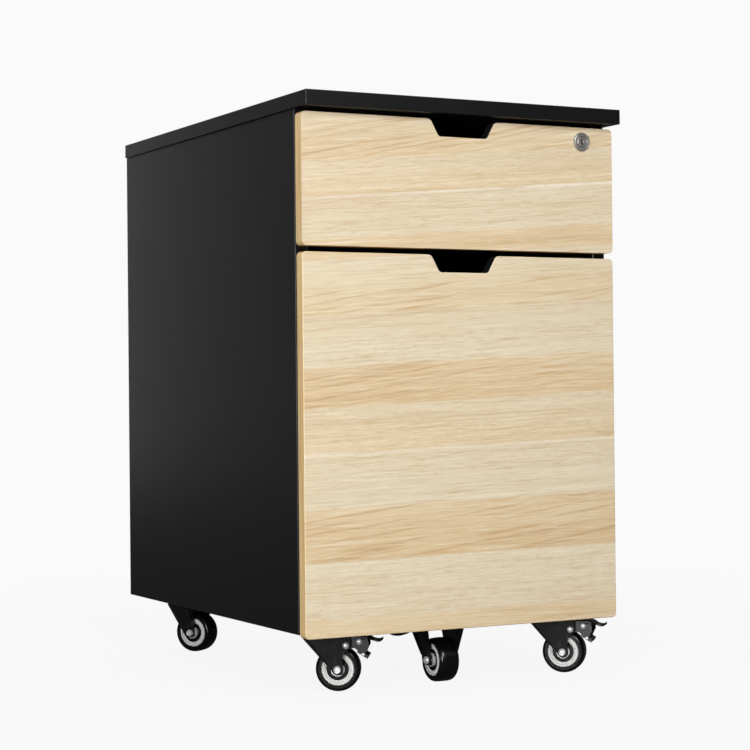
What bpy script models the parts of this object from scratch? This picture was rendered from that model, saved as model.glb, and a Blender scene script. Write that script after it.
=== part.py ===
"""Rolling pedestal cabinet: a black laminate carcass on four swivel casters, a small upper
drawer with a cam lock and a deep file drawer that carries a fifth anti-tip caster.

Frame: +Z up, the drawer fronts face -Y, the origin is on the floor under the middle of the top.
Every size is in millimetres; MM turns it into metres where a mesh or an object is made.
A caster is drawn with its swivel axis at its own origin and its wheel trailing along +X.
"""

import math

import bmesh
import bpy
from mathutils import Vector

MM = 0.001
GAP = 0.3

# Carcass
TOP_WIDTH, TOP_DEPTH, TOP_THICK, HEIGHT = 403.0, 540.0, 16.6, 653.5
WIDTH = 400.0
BOARD = 16.0
BACK_THICK = 12.0
CARCASS_BOTTOM = 70.0
CARCASS_FRONT = -237.0
CARCASS_BACK = 269.0
TOP_UNDERSIDE = HEIGHT - TOP_THICK
INNER_HALF = WIDTH / 2 - BOARD
RAIL_DEPTH, RAIL_BOTTOM = 60.0, 489.0
BLOCK_NOTCH_HALF, BLOCK_NOTCH_BACK = 38.0, -118.0
EDGE_EASE = 0.6

# Drawer fronts
FRONT_FACE, FRONT_THICK, FRONT_CORNER = -254.5, 15.0, 5.0
FRONT_BACK = FRONT_FACE + FRONT_THICK
UPPER_FRONT = (488.6, 632.3)
LOWER_FRONT = (66.6, 482.0)
NOTCH_TOP_HALF, NOTCH_BOTTOM_HALF, NOTCH_DEPTH = 41.5, 31.0, 19.3
NOTCH_TOP_ROUND, NOTCH_BOTTOM_ROUND = 7.0, 5.0

# Drawer boxes and the ball-bearing slides beside them
SIDE_SPACE = 12.7
SIDE_THICK, BOTTOM_THICK = 12.0, 6.0
BOX_HALF = INNER_HALF - SIDE_SPACE
BOX_INNER_HALF = BOX_HALF - SIDE_THICK
BOX_BACK = 205.0
UPPER_SIDES, UPPER_BOTTOM, UPPER_SLIDE_Z = (512.0, 598.0), 516.0, 540.0
LOWER_SIDES, LOWER_BOTTOM, LOWER_SLIDE_Z = (98.0, 368.0), 102.0, 140.0
SLIDE_FRONT, SLIDE_LENGTH, SLIDE_WALL = -232.0, 440.0, 1.2
CARRIAGE_LENGTH, CARRIAGE_FRONT = 424.0, -228.0

# Hanging-file rails
FILE_RAIL_WALL, FILE_RAIL_BASE, FILE_RAIL_LIP = 1.6, 344.0, 374.0

# Lock
LOCK_X, LOCK_Z = 157.7, 616.0
LOCK_FLANGE_R, LOCK_BODY_R, LOCK_HOLE_R, LOCK_BORE_R, LOCK_PLUG_R = 10.8, 9.2, 9.6, 6.4, 6.0
LOCK_PROUD = 2.6
CAM_REACH, CAM_TIP_R, CAM_HUB_R = 22.5, 4.0, 7.0
CAM_FRONT, CAM_THICK = -232.6, 2.0

# Casters
CASTER_X = 147.0
CASTER_PLACES = {
    "front_left": (-CASTER_X, -184.0, -32.0),
    "front_right": (CASTER_X, -191.0, -42.6),
    "rear_left": (-CASTER_X, 215.0, -54.0),
    "rear_right": (CASTER_X, 215.0, -54.0),
}
DRAWER_CASTER_Y, DRAWER_SWIVEL_DEG = -173.0, -90.0
TRAIL = 19.0
WHEEL_R, WHEEL_WIDTH, CORE_R = 25.0, 24.0, 18.0
HUB_R, DISH_R = 7.8, 12.4
HUB_HALF, DISH_HALF, RIM_HALF = 13.2, 9.0, 11.5
TYRE_SHOULDER, TYRE_ROUND = 3.6, 0.6
PLATE_SIDE, PLATE_THICK, PLATE_CORNER = 42.0, 2.5, 5.0
PLATE_HOLE_R, PLATE_HOLE_OFF = 2.2, 15.8
CUP_R, CUP_DEEP, KINGPIN_R, KINGPIN_HEAD_R = 15.0, 2.8, 4.0, 7.0
KINGPIN_HEAD = (57.6, 59.4)
CROWN_R, CROWN_BOTTOM, CROWN_TOP = 18.5, 60.5, 63.6
CHEEK_INNER, CHEEK_OUTER, CHEEK_LEAN = 14.6, 16.6, 0.1
CHEEK_TOP, CHEEK_TOE, CHEEK_TOE_ROUND = 62.0, 19.0, 4.0
PLAIN_CHEEK = (-11.6, 60.5, 24.0, 0.56)
BRAKED_CHEEK = (-CROWN_R, 59.2, 25.3, 0.87)
LUG_REACH, LUG_DROP = 5.2, 5.4
FLARE_THICK, BACK_FLARE, NECK_FLARE = 1.8, 3.0, 9.5
BACK_FLARE_END, NECK_FLARE_END = (30.0, 1.0), (30.5, 3.0)
DECK_HALF, DECK_TOP = 19.5, 62.4
AXLE_R, AXLE_BORE_R, AXLE_HEAD_R, AXLE_SEAT = 2.9, 3.25, 4.4, 17.4
AXLE_HEAD_TALL, AXLE_NUT_TALL = 3.0, 3.4
PIVOT = (29.0, 52.0)
PEDAL_INNER, PEDAL_OUTER = 13.2, 15.2
PEDAL_TIP, TREAD_HALF, TREAD_ROUND, TREAD_THICK = 69.0, 8.5, 6.0, 1.8
SHOE_START, SHOE_END, SHOE_THICK, SHOE_TEETH, SHOE_BITE = (40.2, 43.9), (52.2, 36.4), 4.0, 4, 1.0
BLOCK_HALF, BLOCK_FRONT, BLOCK_BACK = 30.0, -222.0, -128.0


def clear_scene():
    """Remove whatever the file opened with."""
    for obj in list(bpy.data.objects):
        bpy.data.objects.remove(obj, do_unlink=True)


def material(name, colour, roughness, metallic=0.0):
    """A Principled material of one colour."""
    made = bpy.data.materials.new(name)
    made.use_nodes = True
    shader = made.node_tree.nodes["Principled BSDF"]
    shader.inputs["Base Color"].default_value = (*colour, 1.0)
    shader.inputs["Roughness"].default_value = roughness
    shader.inputs["Metallic"].default_value = metallic
    return made


# ---------------------------------------------------------------- outlines


def fillet(corners, steps=4):
    """Round a closed outline given as (a, b, radius) corners. Radius 0 keeps a corner sharp."""
    outline = []
    for i, (a, b, radius) in enumerate(corners):
        here = Vector((a, b))
        if radius == 0:
            outline.append(here)
            continue
        before = (Vector(corners[i - 1][:2]) - here).normalized()
        after = (Vector(corners[(i + 1) % len(corners)][:2]) - here).normalized()
        half = before.angle(after) / 2
        start = here + before * radius / math.tan(half)
        centre = here + (before + after).normalized() * radius / math.sin(half)
        turn = math.pi - 2 * half
        side = -1 if before.cross(after) > 0 else 1
        arm = start - centre
        for k in range(steps + 1):
            angle = side * turn * k / steps
            spun = Vector(
                (
                    arm.x * math.cos(angle) - arm.y * math.sin(angle),
                    arm.x * math.sin(angle) + arm.y * math.cos(angle),
                )
            )
            outline.append(centre + spun)
    return outline


def rectangle(low, high, radius=0.0):
    """A rectangle between two corners, with its own corners rounded."""
    corners = [(low[0], low[1]), (high[0], low[1]), (high[0], high[1]), (low[0], high[1])]
    return fillet([(a, b, radius) for a, b in corners], steps=4)


# ---------------------------------------------------------------- meshes


def finish_mesh(bm, name):
    """Turn a bmesh in millimetres into a mesh in metres whose faces point out."""
    bmesh.ops.recalc_face_normals(bm, faces=bm.faces)
    bmesh.ops.scale(bm, vec=(MM, MM, MM), verts=bm.verts)
    mesh = bpy.data.meshes.new(name)
    bm.to_mesh(mesh)
    bm.free()
    mesh.shade_smooth()
    mesh.set_sharp_from_angle(angle=math.radians(32))
    return mesh


def prism(outline, axis, low, high):
    """Extrude an outline from low to high along Y (outline in XZ) or Z (in XY)."""
    lay = {
        "Y": lambda p, h: (p[0], h, p[1]),
        "Z": lambda p, h: (p[0], p[1], h),
    }[axis]
    bm = bmesh.new()
    face = bm.faces.new([bm.verts.new(lay(p, low)) for p in outline])
    extruded = bmesh.ops.extrude_face_region(bm, geom=[face])
    moved = [item for item in extruded["geom"] if isinstance(item, bmesh.types.BMVert)]
    bmesh.ops.translate(bm, vec=lay((0, 0), high - low), verts=moved)
    return finish_mesh(bm, "prism")


def block(low, high):
    """A box between two corners."""
    return prism(rectangle(low[:2], high[:2]), "Z", low[2], high[2])


def turned(profile, axis="Z", centre=(0.0, 0.0, 0.0), steps=20):
    """Revolve (radius, height) points about an axis. The profile runs on from its end to its start."""
    lay = {
        "Y": lambda r, t, h: (r * math.sin(t), h, -r * math.cos(t)),
        "Z": lambda r, t, h: (r * math.sin(t), -r * math.cos(t), h),
    }[axis]
    bm = bmesh.new()
    rings = []
    for radius, height in profile:
        count = 1 if radius == 0 else steps
        points = [lay(radius, 2 * math.pi * k / steps, height) for k in range(count)]
        rings.append([bm.verts.new(Vector(p) + Vector(centre)) for p in points])
    for i, ring in enumerate(rings):
        following = rings[(i + 1) % len(rings)]
        if len(ring) == 1 and len(following) == 1:
            continue
        for k in range(steps):
            quad = [ring[k % len(ring)], ring[(k + 1) % len(ring)]]
            quad += [following[(k + 1) % len(following)], following[k % len(following)]]
            bm.faces.new(list(dict.fromkeys(quad)))
    return finish_mesh(bm, "turned")


def rod(radius, low, high, axis="Z", centre=(0.0, 0.0, 0.0), steps=20):
    """A plain cylinder along an axis."""
    return turned([(0, low), (radius, low), (radius, high), (0, high)], axis, centre, steps)


def hull(points):
    """The convex solid round a few points."""
    bm = bmesh.new()
    for point in points:
        bm.verts.new(point)
    bmesh.ops.convex_hull(bm, input=bm.verts)
    return finish_mesh(bm, "hull")


def solid(base, add=(), cut=(), within=()):
    """Keep what a base mesh shares with others, join and cut more, and return the mesh that is left."""
    work = bpy.data.objects.new("work", base)
    bpy.context.scene.collection.objects.link(work)
    helpers = []
    for operation, meshes in (("INTERSECT", within), ("UNION", add), ("DIFFERENCE", cut)):
        for mesh in meshes:
            helper = bpy.data.objects.new("helper", mesh)
            bpy.context.scene.collection.objects.link(helper)
            helper.hide_render = True
            helper.display_type = "WIRE"
            modifier = work.modifiers.new(operation.title(), "BOOLEAN")
            modifier.operation = operation
            modifier.solver = "EXACT"
            modifier.object = helper
            helpers.append(helper)
    graph = bpy.context.evaluated_depsgraph_get()
    made = bpy.data.meshes.new_from_object(work.evaluated_get(graph))
    for obj in (work, *helpers):
        bpy.data.objects.remove(obj, do_unlink=True)
    made.shade_smooth()
    made.set_sharp_from_angle(angle=math.radians(32))
    return made


def node(name, mesh, dress, at=(0.0, 0.0, 0.0), turn_deg=0.0, parent=None, ease=0.0):
    """Put a mesh in the scene as a named sub-part with its own copy of a material."""
    obj = bpy.data.objects.new(name, mesh.copy())
    bpy.context.scene.collection.objects.link(obj)
    obj.data.materials.clear()
    obj.data.materials.append(dress.copy())
    obj.location = Vector(at) * MM
    obj.rotation_euler.z = math.radians(turn_deg)
    obj.parent = parent
    if ease:
        bevel = obj.modifiers.new("Ease", "BEVEL")
        bevel.width = ease * MM
        bevel.segments = 2 if ease > EDGE_EASE else 1
        bevel.limit_method = "ANGLE"
        bevel.angle_limit = math.radians(50)
    return obj


# ---------------------------------------------------------------- carcass


def build_carcass(black, steel):
    """Top, two sides, back, bottom with a notch for the drawer's caster block, rail and slide rails."""
    half, deep = TOP_WIDTH / 2, TOP_DEPTH / 2
    pocket = block(
        (LOCK_X - CAM_REACH, CAM_FRONT - 1.2, TOP_UNDERSIDE - 5),
        (LOCK_X + 7, CAM_FRONT + CAM_THICK + 1.2, LOCK_Z + CAM_REACH + CAM_TIP_R + 1.5),
    )
    top = block((-half, -deep, TOP_UNDERSIDE), (half, deep, HEIGHT))
    node("top_panel", solid(top, cut=[pocket]), black, ease=EDGE_EASE)
    for side, sign in (("left", -1), ("right", 1)):
        inner, outer = sorted((sign * INNER_HALF, sign * WIDTH / 2))
        panel = block(
            (inner, CARCASS_FRONT, CARCASS_BOTTOM), (outer, CARCASS_BACK, TOP_UNDERSIDE - GAP)
        )
        node(f"{side}_side_panel", panel, black, ease=EDGE_EASE)
    inside = INNER_HALF - GAP
    back_front = CARCASS_BACK - BACK_THICK
    back = block((-inside, back_front, CARCASS_BOTTOM), (inside, CARCASS_BACK, TOP_UNDERSIDE - GAP))
    node("back_panel", back, black, ease=EDGE_EASE)
    bottom_outline = [
        (-inside, CARCASS_FRONT, 0),
        (-BLOCK_NOTCH_HALF, CARCASS_FRONT, 0),
        (-BLOCK_NOTCH_HALF, BLOCK_NOTCH_BACK, 6),
        (BLOCK_NOTCH_HALF, BLOCK_NOTCH_BACK, 6),
        (BLOCK_NOTCH_HALF, CARCASS_FRONT, 0),
        (inside, CARCASS_FRONT, 0),
        (inside, back_front - GAP, 0),
        (-inside, back_front - GAP, 0),
    ]
    bottom = prism(fillet(bottom_outline), "Z", CARCASS_BOTTOM, CARCASS_BOTTOM + BOARD)
    node("bottom_panel", bottom, black, ease=EDGE_EASE)
    rail = block(
        (-inside, CARCASS_FRONT, RAIL_BOTTOM), (inside, CARCASS_FRONT + RAIL_DEPTH, RAIL_BOTTOM + BOARD)
    )
    node("middle_rail", rail, black, ease=EDGE_EASE)
    for level, height in (("upper", UPPER_SLIDE_Z), ("lower", LOWER_SLIDE_Z)):
        for side, sign in (("left", -1), ("right", 1)):
            channel = slide_channel(sign, height, GAP, 9.5, 22.5, SLIDE_FRONT, SLIDE_LENGTH)
            node(f"{level}_{side}_slide_outer", channel, steel)


def slide_channel(sign, height, web, lip, half_tall, front, length, opens_out=True):
    """One C-shaped slide member. web and lip are distances from the cabinet side's inner face."""
    wall = SLIDE_WALL if opens_out else -SLIDE_WALL
    section = [
        (web, -half_tall),
        (lip, -half_tall),
        (lip, -half_tall + SLIDE_WALL),
        (web + wall, -half_tall + SLIDE_WALL),
        (web + wall, half_tall - SLIDE_WALL),
        (lip, half_tall - SLIDE_WALL),
        (lip, half_tall),
        (web, half_tall),
    ]
    outline = [(sign * (INNER_HALF - across), height + up) for across, up in section]
    return prism(outline, "Y", front, front + length)


# ---------------------------------------------------------------- drawers


def front_mesh(low, high, holes=()):
    """A drawer front: rounded corners, and a finger notch with slanted sides in its top edge."""
    half = WIDTH / 2
    notch_floor = high - NOTCH_DEPTH
    outline = fillet(
        [
            (-half, low, FRONT_CORNER),
            (half, low, FRONT_CORNER),
            (half, high, FRONT_CORNER),
            (NOTCH_TOP_HALF, high, NOTCH_TOP_ROUND),
            (NOTCH_BOTTOM_HALF, notch_floor, NOTCH_BOTTOM_ROUND),
            (-NOTCH_BOTTOM_HALF, notch_floor, NOTCH_BOTTOM_ROUND),
            (-NOTCH_TOP_HALF, high, NOTCH_TOP_ROUND),
            (-half, high, FRONT_CORNER),
        ]
    )
    panel = prism(outline, "Y", FRONT_FACE, FRONT_BACK)
    return solid(panel, cut=holes)


def build_drawer_box(level, sides, bottom_z, slide_z, board, steel):
    """Sides, back and bottom of a drawer, with the inner slide member on each side."""
    box_front = FRONT_BACK + GAP
    for side, sign in (("left", -1), ("right", 1)):
        inner, outer = sorted((sign * BOX_INNER_HALF, sign * BOX_HALF))
        panel = block((inner, box_front, sides[0]), (outer, BOX_BACK, sides[1]))
        node(f"{level}_drawer_{side}_side", panel, board, ease=EDGE_EASE)
        channel = slide_channel(
            sign, slide_z, SIDE_SPACE - GAP, 5.5, 14.0, SLIDE_FRONT - 2, SLIDE_LENGTH, opens_out=False
        )
        node(f"{level}_{side}_slide_inner", channel, steel)
    inside = BOX_INNER_HALF - GAP
    back = block((-inside, BOX_BACK - SIDE_THICK, sides[0]), (inside, BOX_BACK, sides[1]))
    node(f"{level}_drawer_back", back, board, ease=EDGE_EASE)
    bottom = block(
        (-inside, box_front, bottom_z), (inside, BOX_BACK - SIDE_THICK - GAP, bottom_z + BOTTOM_THICK)
    )
    node(f"{level}_drawer_bottom", bottom, board)


def build_carriage(level, height, steel):
    """The middle member of each slide pair: both ride together at half the drawer's travel."""
    for side, sign in (("left", -1), ("right", 1)):
        channel = slide_channel(sign, height, 2.6, 11.0, 18.5, CARRIAGE_FRONT, CARRIAGE_LENGTH)
        node(f"{level}_{side}_slide_middle", channel, steel)


def build_upper_drawer(oak, board, steel, nickel):
    """The shallow drawer and its cam lock."""
    hole = rod(LOCK_HOLE_R, FRONT_FACE - 5, FRONT_BACK + 5, "Y", (LOCK_X, 0, LOCK_Z))
    node("upper_drawer_front", front_mesh(*UPPER_FRONT, holes=[hole]), oak, ease=1.2)
    build_drawer_box("upper", UPPER_SIDES, UPPER_BOTTOM, UPPER_SLIDE_Z, board, steel)
    build_carriage("upper", UPPER_SLIDE_Z, steel)
    face, flange_back = FRONT_FACE - LOCK_PROUD, FRONT_FACE - GAP
    barrel_end = CAM_FRONT - 0.8
    housing = [
        (LOCK_BORE_R, face),
        (LOCK_FLANGE_R - 1.2, face),
        (LOCK_FLANGE_R, face + 1.2),
        (LOCK_FLANGE_R, flange_back),
        (LOCK_BODY_R, flange_back),
        (LOCK_BODY_R, barrel_end),
        (LOCK_BORE_R, barrel_end),
    ]
    at = (LOCK_X, 0, LOCK_Z)
    node("lock_housing", turned(housing, "Y"), nickel, at)
    plug = rod(LOCK_PLUG_R, face + 0.4, CAM_FRONT + CAM_THICK, "Y")
    keyway = block((-0.9, face - 1, -4.2), (0.9, face + 4, 4.2))
    cam = prism(cam_outline(), "Y", CAM_FRONT, CAM_FRONT + CAM_THICK)
    node("lock_plug", solid(plug, add=[cam], cut=[keyway]), nickel, at)


def cam_outline():
    """A lock cam that points towards -X: a round hub, a narrower round tip and the straights between."""
    lean = math.asin((CAM_HUB_R - CAM_TIP_R) / CAM_REACH)
    outline = []
    for centre, radius, first, last in (
        (0.0, CAM_HUB_R, -math.pi / 2 - lean, math.pi / 2 + lean),
        (-CAM_REACH, CAM_TIP_R, math.pi / 2 + lean, 3 * math.pi / 2 - lean),
    ):
        for k in range(13):
            angle = first + (last - first) * k / 12
            outline.append((centre + radius * math.cos(angle), radius * math.sin(angle)))
    return outline


def build_lower_drawer(oak, board, steel, black, black_steel):
    """The deep file drawer: hanging-file rails inside, and a block under its nose for a caster."""
    node("lower_drawer_front", front_mesh(*LOWER_FRONT), oak, ease=1.2)
    build_drawer_box("lower", LOWER_SIDES, LOWER_BOTTOM, LOWER_SLIDE_Z, board, steel)
    build_carriage("lower", LOWER_SLIDE_Z, steel)
    for side, sign in (("left", -1), ("right", 1)):
        wall, top = BOX_INNER_HALF - GAP, LOWER_SIDES[1]
        section = [
            (wall, FILE_RAIL_BASE),
            (wall, top),
            (wall - 4.4, top),
            (wall - 4.4, FILE_RAIL_LIP),
            (wall - 4.4 - FILE_RAIL_WALL, FILE_RAIL_LIP),
            (wall - 4.4 - FILE_RAIL_WALL, top - FILE_RAIL_WALL),
            (wall - FILE_RAIL_WALL, top - FILE_RAIL_WALL),
            (wall - FILE_RAIL_WALL, FILE_RAIL_BASE),
        ]
        rail = prism([(sign * a, b) for a, b in section], "Y", -230.0, BOX_BACK - SIDE_THICK - 3)
        node(f"{side}_file_rail", rail, steel)
    mount = block(
        (-BLOCK_HALF, BLOCK_FRONT, CARCASS_BOTTOM), (BLOCK_HALF, BLOCK_BACK, LOWER_BOTTOM - GAP)
    )
    node("drawer_caster_block", mount, black, ease=EDGE_EASE)
    node("drawer_caster_plate", plate_mesh(), black_steel, (0, DRAWER_CASTER_Y, 0))


# ---------------------------------------------------------------- casters


def plate_mesh():
    """Fixing plate with the raceway cup and the kingpin riveted under it."""
    top = CARCASS_BOTTOM - GAP
    under = top - PLATE_THICK
    half = PLATE_SIDE / 2
    plate = prism(rectangle((-half, -half), (half, half), PLATE_CORNER), "Z", under, top)
    shaft_low, shaft_high = KINGPIN_HEAD
    neck = [
        (0, top - 1.0),
        (CUP_R, top - 1.0),
        (CUP_R - 2.0, under - CUP_DEEP),
        (KINGPIN_R, under - CUP_DEEP),
        (KINGPIN_R, shaft_high),
        (KINGPIN_HEAD_R, shaft_high),
        (KINGPIN_HEAD_R, shaft_low),
        (0, shaft_low),
    ]
    holes = [
        rod(PLATE_HOLE_R, under - 5, top + 5, "Z", (sx * PLATE_HOLE_OFF, sy * PLATE_HOLE_OFF, 0), steps=8)
        for sx in (-1, 1)
        for sy in (-1, 1)
    ]
    return solid(plate, add=[turned(neck, steps=16)], cut=holes)


def fork_mesh(braked):
    """Pressed fork: crown, two leaning cheeks with flared edges and, if braked, a pivot lug."""
    back, start, neck, slope = BRAKED_CHEEK if braked else PLAIN_CHEEK
    toe = back + slope * (start - CHEEK_TOE)
    corners = [
        (back, CHEEK_TOP, 0),
        (back, start, 0),
        (toe, CHEEK_TOE, CHEEK_TOE_ROUND),
        (neck, CHEEK_TOE, CHEEK_TOE_ROUND),
    ]
    if braked:
        under, lug = PIVOT[1] - LUG_DROP, PIVOT[0] + LUG_REACH
        corners += [(neck, under, 8.0), (lug, under, 5.0), (lug, CHEEK_TOP, 3.0)]
    else:
        corners += [(neck, CHEEK_TOP, 0)]
    outline = fillet(corners)
    flare_top = CHEEK_TOP - 0.5
    along_back = back + slope * (start - BACK_FLARE_END[0])
    inside_neck = neck - FLARE_THICK - 0.4
    parts = []
    for sign in (-1, 1):
        near, far = sorted((sign * CHEEK_INNER, sign * CHEEK_OUTER))
        parts.append(leaning(prism(outline, "Y", near, far), sign))
        edges = [flare(sign, back + 0.6, along_back + 0.6, flare_top, BACK_FLARE, BACK_FLARE_END)]
        if not braked:
            edges.append(flare(sign, inside_neck, inside_neck, flare_top, NECK_FLARE, NECK_FLARE_END))
        parts += [leaning(edge, sign) for edge in edges]
    deck_plan = rectangle((-CROWN_R + 6, -DECK_HALF), (neck - 0.5, DECK_HALF), 3.0)
    deck = prism(deck_plan, "Z", CROWN_BOTTOM + 0.3, DECK_TOP)
    crown = rod(CROWN_R - 0.3, CROWN_BOTTOM + 0.6, CROWN_TOP)
    cuts = [
        rod(KINGPIN_R + 0.6, CROWN_BOTTOM - 5, CROWN_TOP + 5, steps=12),
        rod(AXLE_BORE_R, -30, 30, "Y", (TRAIL, 0, WHEEL_R), steps=12),
    ]
    return solid(crown, add=[deck, *parts], cut=cuts)


def leaning(mesh, sign):
    """Lean a piece of a cheek outwards, so that it stands further out above the axle."""
    for vertex in mesh.vertices:
        vertex.co.y += sign * CHEEK_LEAN * (vertex.co.z - WHEEL_R * MM)
    return mesh


def flare(sign, top_u, low_u, top_z, top_out, end):
    """A stiffening edge that stands out from a cheek, wide at the crown and narrow at its end."""
    root = CHEEK_OUTER - 1.0
    low_z, low_out = end
    points = []
    for u, z, out in ((top_u, top_z, top_out), (low_u, low_z, low_out)):
        reach = CHEEK_OUTER + out
        for shift in (0.0, FLARE_THICK):
            for across in (root, reach):
                points.append((u + shift, sign * across, z))
    return hull(points)


def tyre_mesh():
    """A ring with rounded shoulders and a lightly crowned tread."""
    half = WHEEL_WIDTH / 2
    bore = CORE_R + GAP
    side = [
        (bore, half),
        (WHEEL_R - TYRE_SHOULDER, half),
        (WHEEL_R - TYRE_ROUND, half - TYRE_SHOULDER),
    ]
    profile = side + [(WHEEL_R, 0.0)] + [(r, -h) for r, h in reversed(side)]
    return turned(profile, "Y", steps=24)


def core_mesh():
    """Wheel core: a rim ring, a recessed dish on each face and a hub bored for the axle."""
    face = [
        (AXLE_R + GAP, HUB_HALF),
        (HUB_R, HUB_HALF),
        (HUB_R, DISH_HALF),
        (DISH_R, DISH_HALF),
        (DISH_R, RIM_HALF),
        (CORE_R, RIM_HALF),
    ]
    profile = face + [(r, -h) for r, h in reversed(face)]
    return turned(profile, "Y", steps=18)


def axle_mesh():
    """Axle bolt: a round head on the side that faces out, a plain shank and a nut."""
    head, nut = -AXLE_SEAT, AXLE_SEAT
    profile = [
        (0, head - AXLE_HEAD_TALL),
        (AXLE_R, head - AXLE_HEAD_TALL),
        (AXLE_HEAD_R, head - AXLE_HEAD_TALL / 2),
        (AXLE_HEAD_R, head),
        (AXLE_R, head),
        (AXLE_R, nut),
        (AXLE_HEAD_R, nut),
        (AXLE_HEAD_R, nut + AXLE_NUT_TALL),
        (0, nut + AXLE_NUT_TALL),
    ]
    return turned(profile, "Y", steps=12)


def pedal_mesh():
    """Brake pedal about its pivot: two cheeks, a serrated shoe between them and a wavy tread plate."""
    u0, z0 = PIVOT
    cheek = [
        (24.3, 46.8, 4.8),
        (38.0, 48.8, 1.0),
        (43.2, 44.8, 0.5),
        (49.4, 41.2, 1.0),
        (54.0, 50.6, 2.0),
        (53.0, 58.5, 2.0),
        (27.0, 59.6, 4.0),
    ]
    outline = fillet([(a - u0, b - z0, r) for a, b, r in cheek], steps=4)
    cheeks = [prism(outline, "Y", *sorted((s * PEDAL_INNER, s * PEDAL_OUTER))) for s in (-1, 1)]
    path = [
        (29.0, 60.0),
        (47.0, 60.4),
        (53.0, 59.4),
        (58.0, 57.4),
        (63.0, 56.2),
        (66.5, 56.8),
        (69.5, 59.0),
    ]
    skin = [(a - u0, b - z0 + TREAD_THICK / 2) for a, b in path]
    skin += [(a - u0, b - z0 - TREAD_THICK / 2) for a, b in reversed(path)]
    tread = prism(skin, "Y", -PEDAL_OUTER, PEDAL_OUTER)
    plan = [
        (26.0, -PEDAL_OUTER + 0.1, 0),
        (54.0, -PEDAL_OUTER + 0.1, 3.0),
        (58.0, -TREAD_HALF, 3.0),
        (PEDAL_TIP, -TREAD_HALF, TREAD_ROUND),
        (PEDAL_TIP, TREAD_HALF, TREAD_ROUND),
        (58.0, TREAD_HALF, 3.0),
        (54.0, PEDAL_OUTER - 0.1, 3.0),
        (26.0, PEDAL_OUTER - 0.1, 0),
    ]
    trim = prism(fillet([(a - u0, b, r) for a, b, r in plan]), "Z", -5, 20)
    shoe = prism(shoe_outline(), "Y", -PEDAL_OUTER + 0.2, PEDAL_OUTER - 0.2)
    return solid(tread, within=[trim], add=[*cheeks, shoe])


def shoe_outline():
    """The brake shoe's side view: a slanted bar with teeth towards the tyre."""
    start, end = Vector(SHOE_START), Vector(SHOE_END)
    along = (end - start) / SHOE_TEETH
    inward = Vector((along.y, -along.x)).normalized()
    outline = []
    for k in range(SHOE_TEETH):
        outline.append(start + along * k)
        outline.append(start + along * (k + 0.5) - inward * SHOE_BITE)
    outline.append(end)
    outline.append(end - inward * SHOE_THICK)
    outline.append(start - inward * SHOE_THICK)
    return [point - Vector(PIVOT) for point in outline]


def build_caster(name, place, turn_deg, meshes, finishes, braked=False):
    """One swivel caster: fork, wheel core, tyre and axle bolt, and a pedal where it is braked."""
    black_steel, rubber, nylon, zinc = finishes
    shape = meshes["braked_fork" if braked else "fork"]
    fork = node(f"{name}_caster_fork", shape, black_steel, place, turn_deg)
    axle = (TRAIL, 0, WHEEL_R)
    node(f"{name}_caster_axle", meshes["axle"], zinc, axle, parent=fork)
    node(f"{name}_wheel_core", meshes["core"], nylon, axle, parent=fork)
    node(f"{name}_tyre", meshes["tyre"], rubber, axle, parent=fork)
    if braked:
        pivot = (PIVOT[0], 0, PIVOT[1])
        node(f"{name}_brake_pedal", meshes["pedal"], black_steel, pivot, parent=fork)


def build_casters(black_steel, rubber, nylon, zinc):
    """Four corner casters under the bottom panel and the fifth one under the file drawer."""
    meshes = {
        "fork": fork_mesh(braked=False),
        "braked_fork": fork_mesh(braked=True),
        "axle": axle_mesh(),
        "core": core_mesh(),
        "tyre": tyre_mesh(),
        "pedal": pedal_mesh(),
    }
    finishes = (black_steel, rubber, nylon, zinc)
    for name, (x, y, turn) in CASTER_PLACES.items():
        node(f"{name}_caster_plate", plate_mesh(), black_steel, (x, y, 0))
        build_caster(name, (x, y, 0), turn, meshes, finishes, braked=name.startswith("front"))
    build_caster("drawer", (0, DRAWER_CASTER_Y, 0), DRAWER_SWIVEL_DEG, meshes, finishes)


def main():
    clear_scene()
    black = material("black_laminate", (0.012, 0.012, 0.014), 0.45)
    oak = material("oak_laminate", (0.72, 0.58, 0.36), 0.5)
    board = material("drawer_board", (0.55, 0.56, 0.57), 0.5)
    steel = material("zinc_slide", (0.62, 0.63, 0.65), 0.35, 1.0)
    nickel = material("satin_nickel", (0.66, 0.65, 0.62), 0.3, 1.0)
    black_steel = material("black_powder_coat", (0.02, 0.02, 0.022), 0.4)
    rubber = material("black_tyre", (0.012, 0.012, 0.012), 0.3)
    nylon = material("grey_core", (0.6, 0.6, 0.58), 0.4)
    zinc = material("zinc_bolt", (0.7, 0.7, 0.7), 0.25, 1.0)
    build_carcass(black, steel)
    build_upper_drawer(oak, board, steel, nickel)
    build_lower_drawer(oak, board, steel, black, black_steel)
    build_casters(black_steel, rubber, nylon, zinc)


main()
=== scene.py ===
"""Looks of a rolling pedestal cabinet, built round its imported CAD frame.

Sizes are in millimetres in the row frame: +Z up, the drawer fronts face -Y, and the origin is on
the floor under the middle of the top. MM turns them into metres where a piece is made. A caster is
drawn about its own swivel axis with its wheel trailing along +X.
"""

import logging
import math
from collections.abc import Iterable, Mapping, Sequence
from dataclasses import dataclass, replace
from enum import Enum

import bmesh
import bpy
from mathutils import Matrix, Vector

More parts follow.
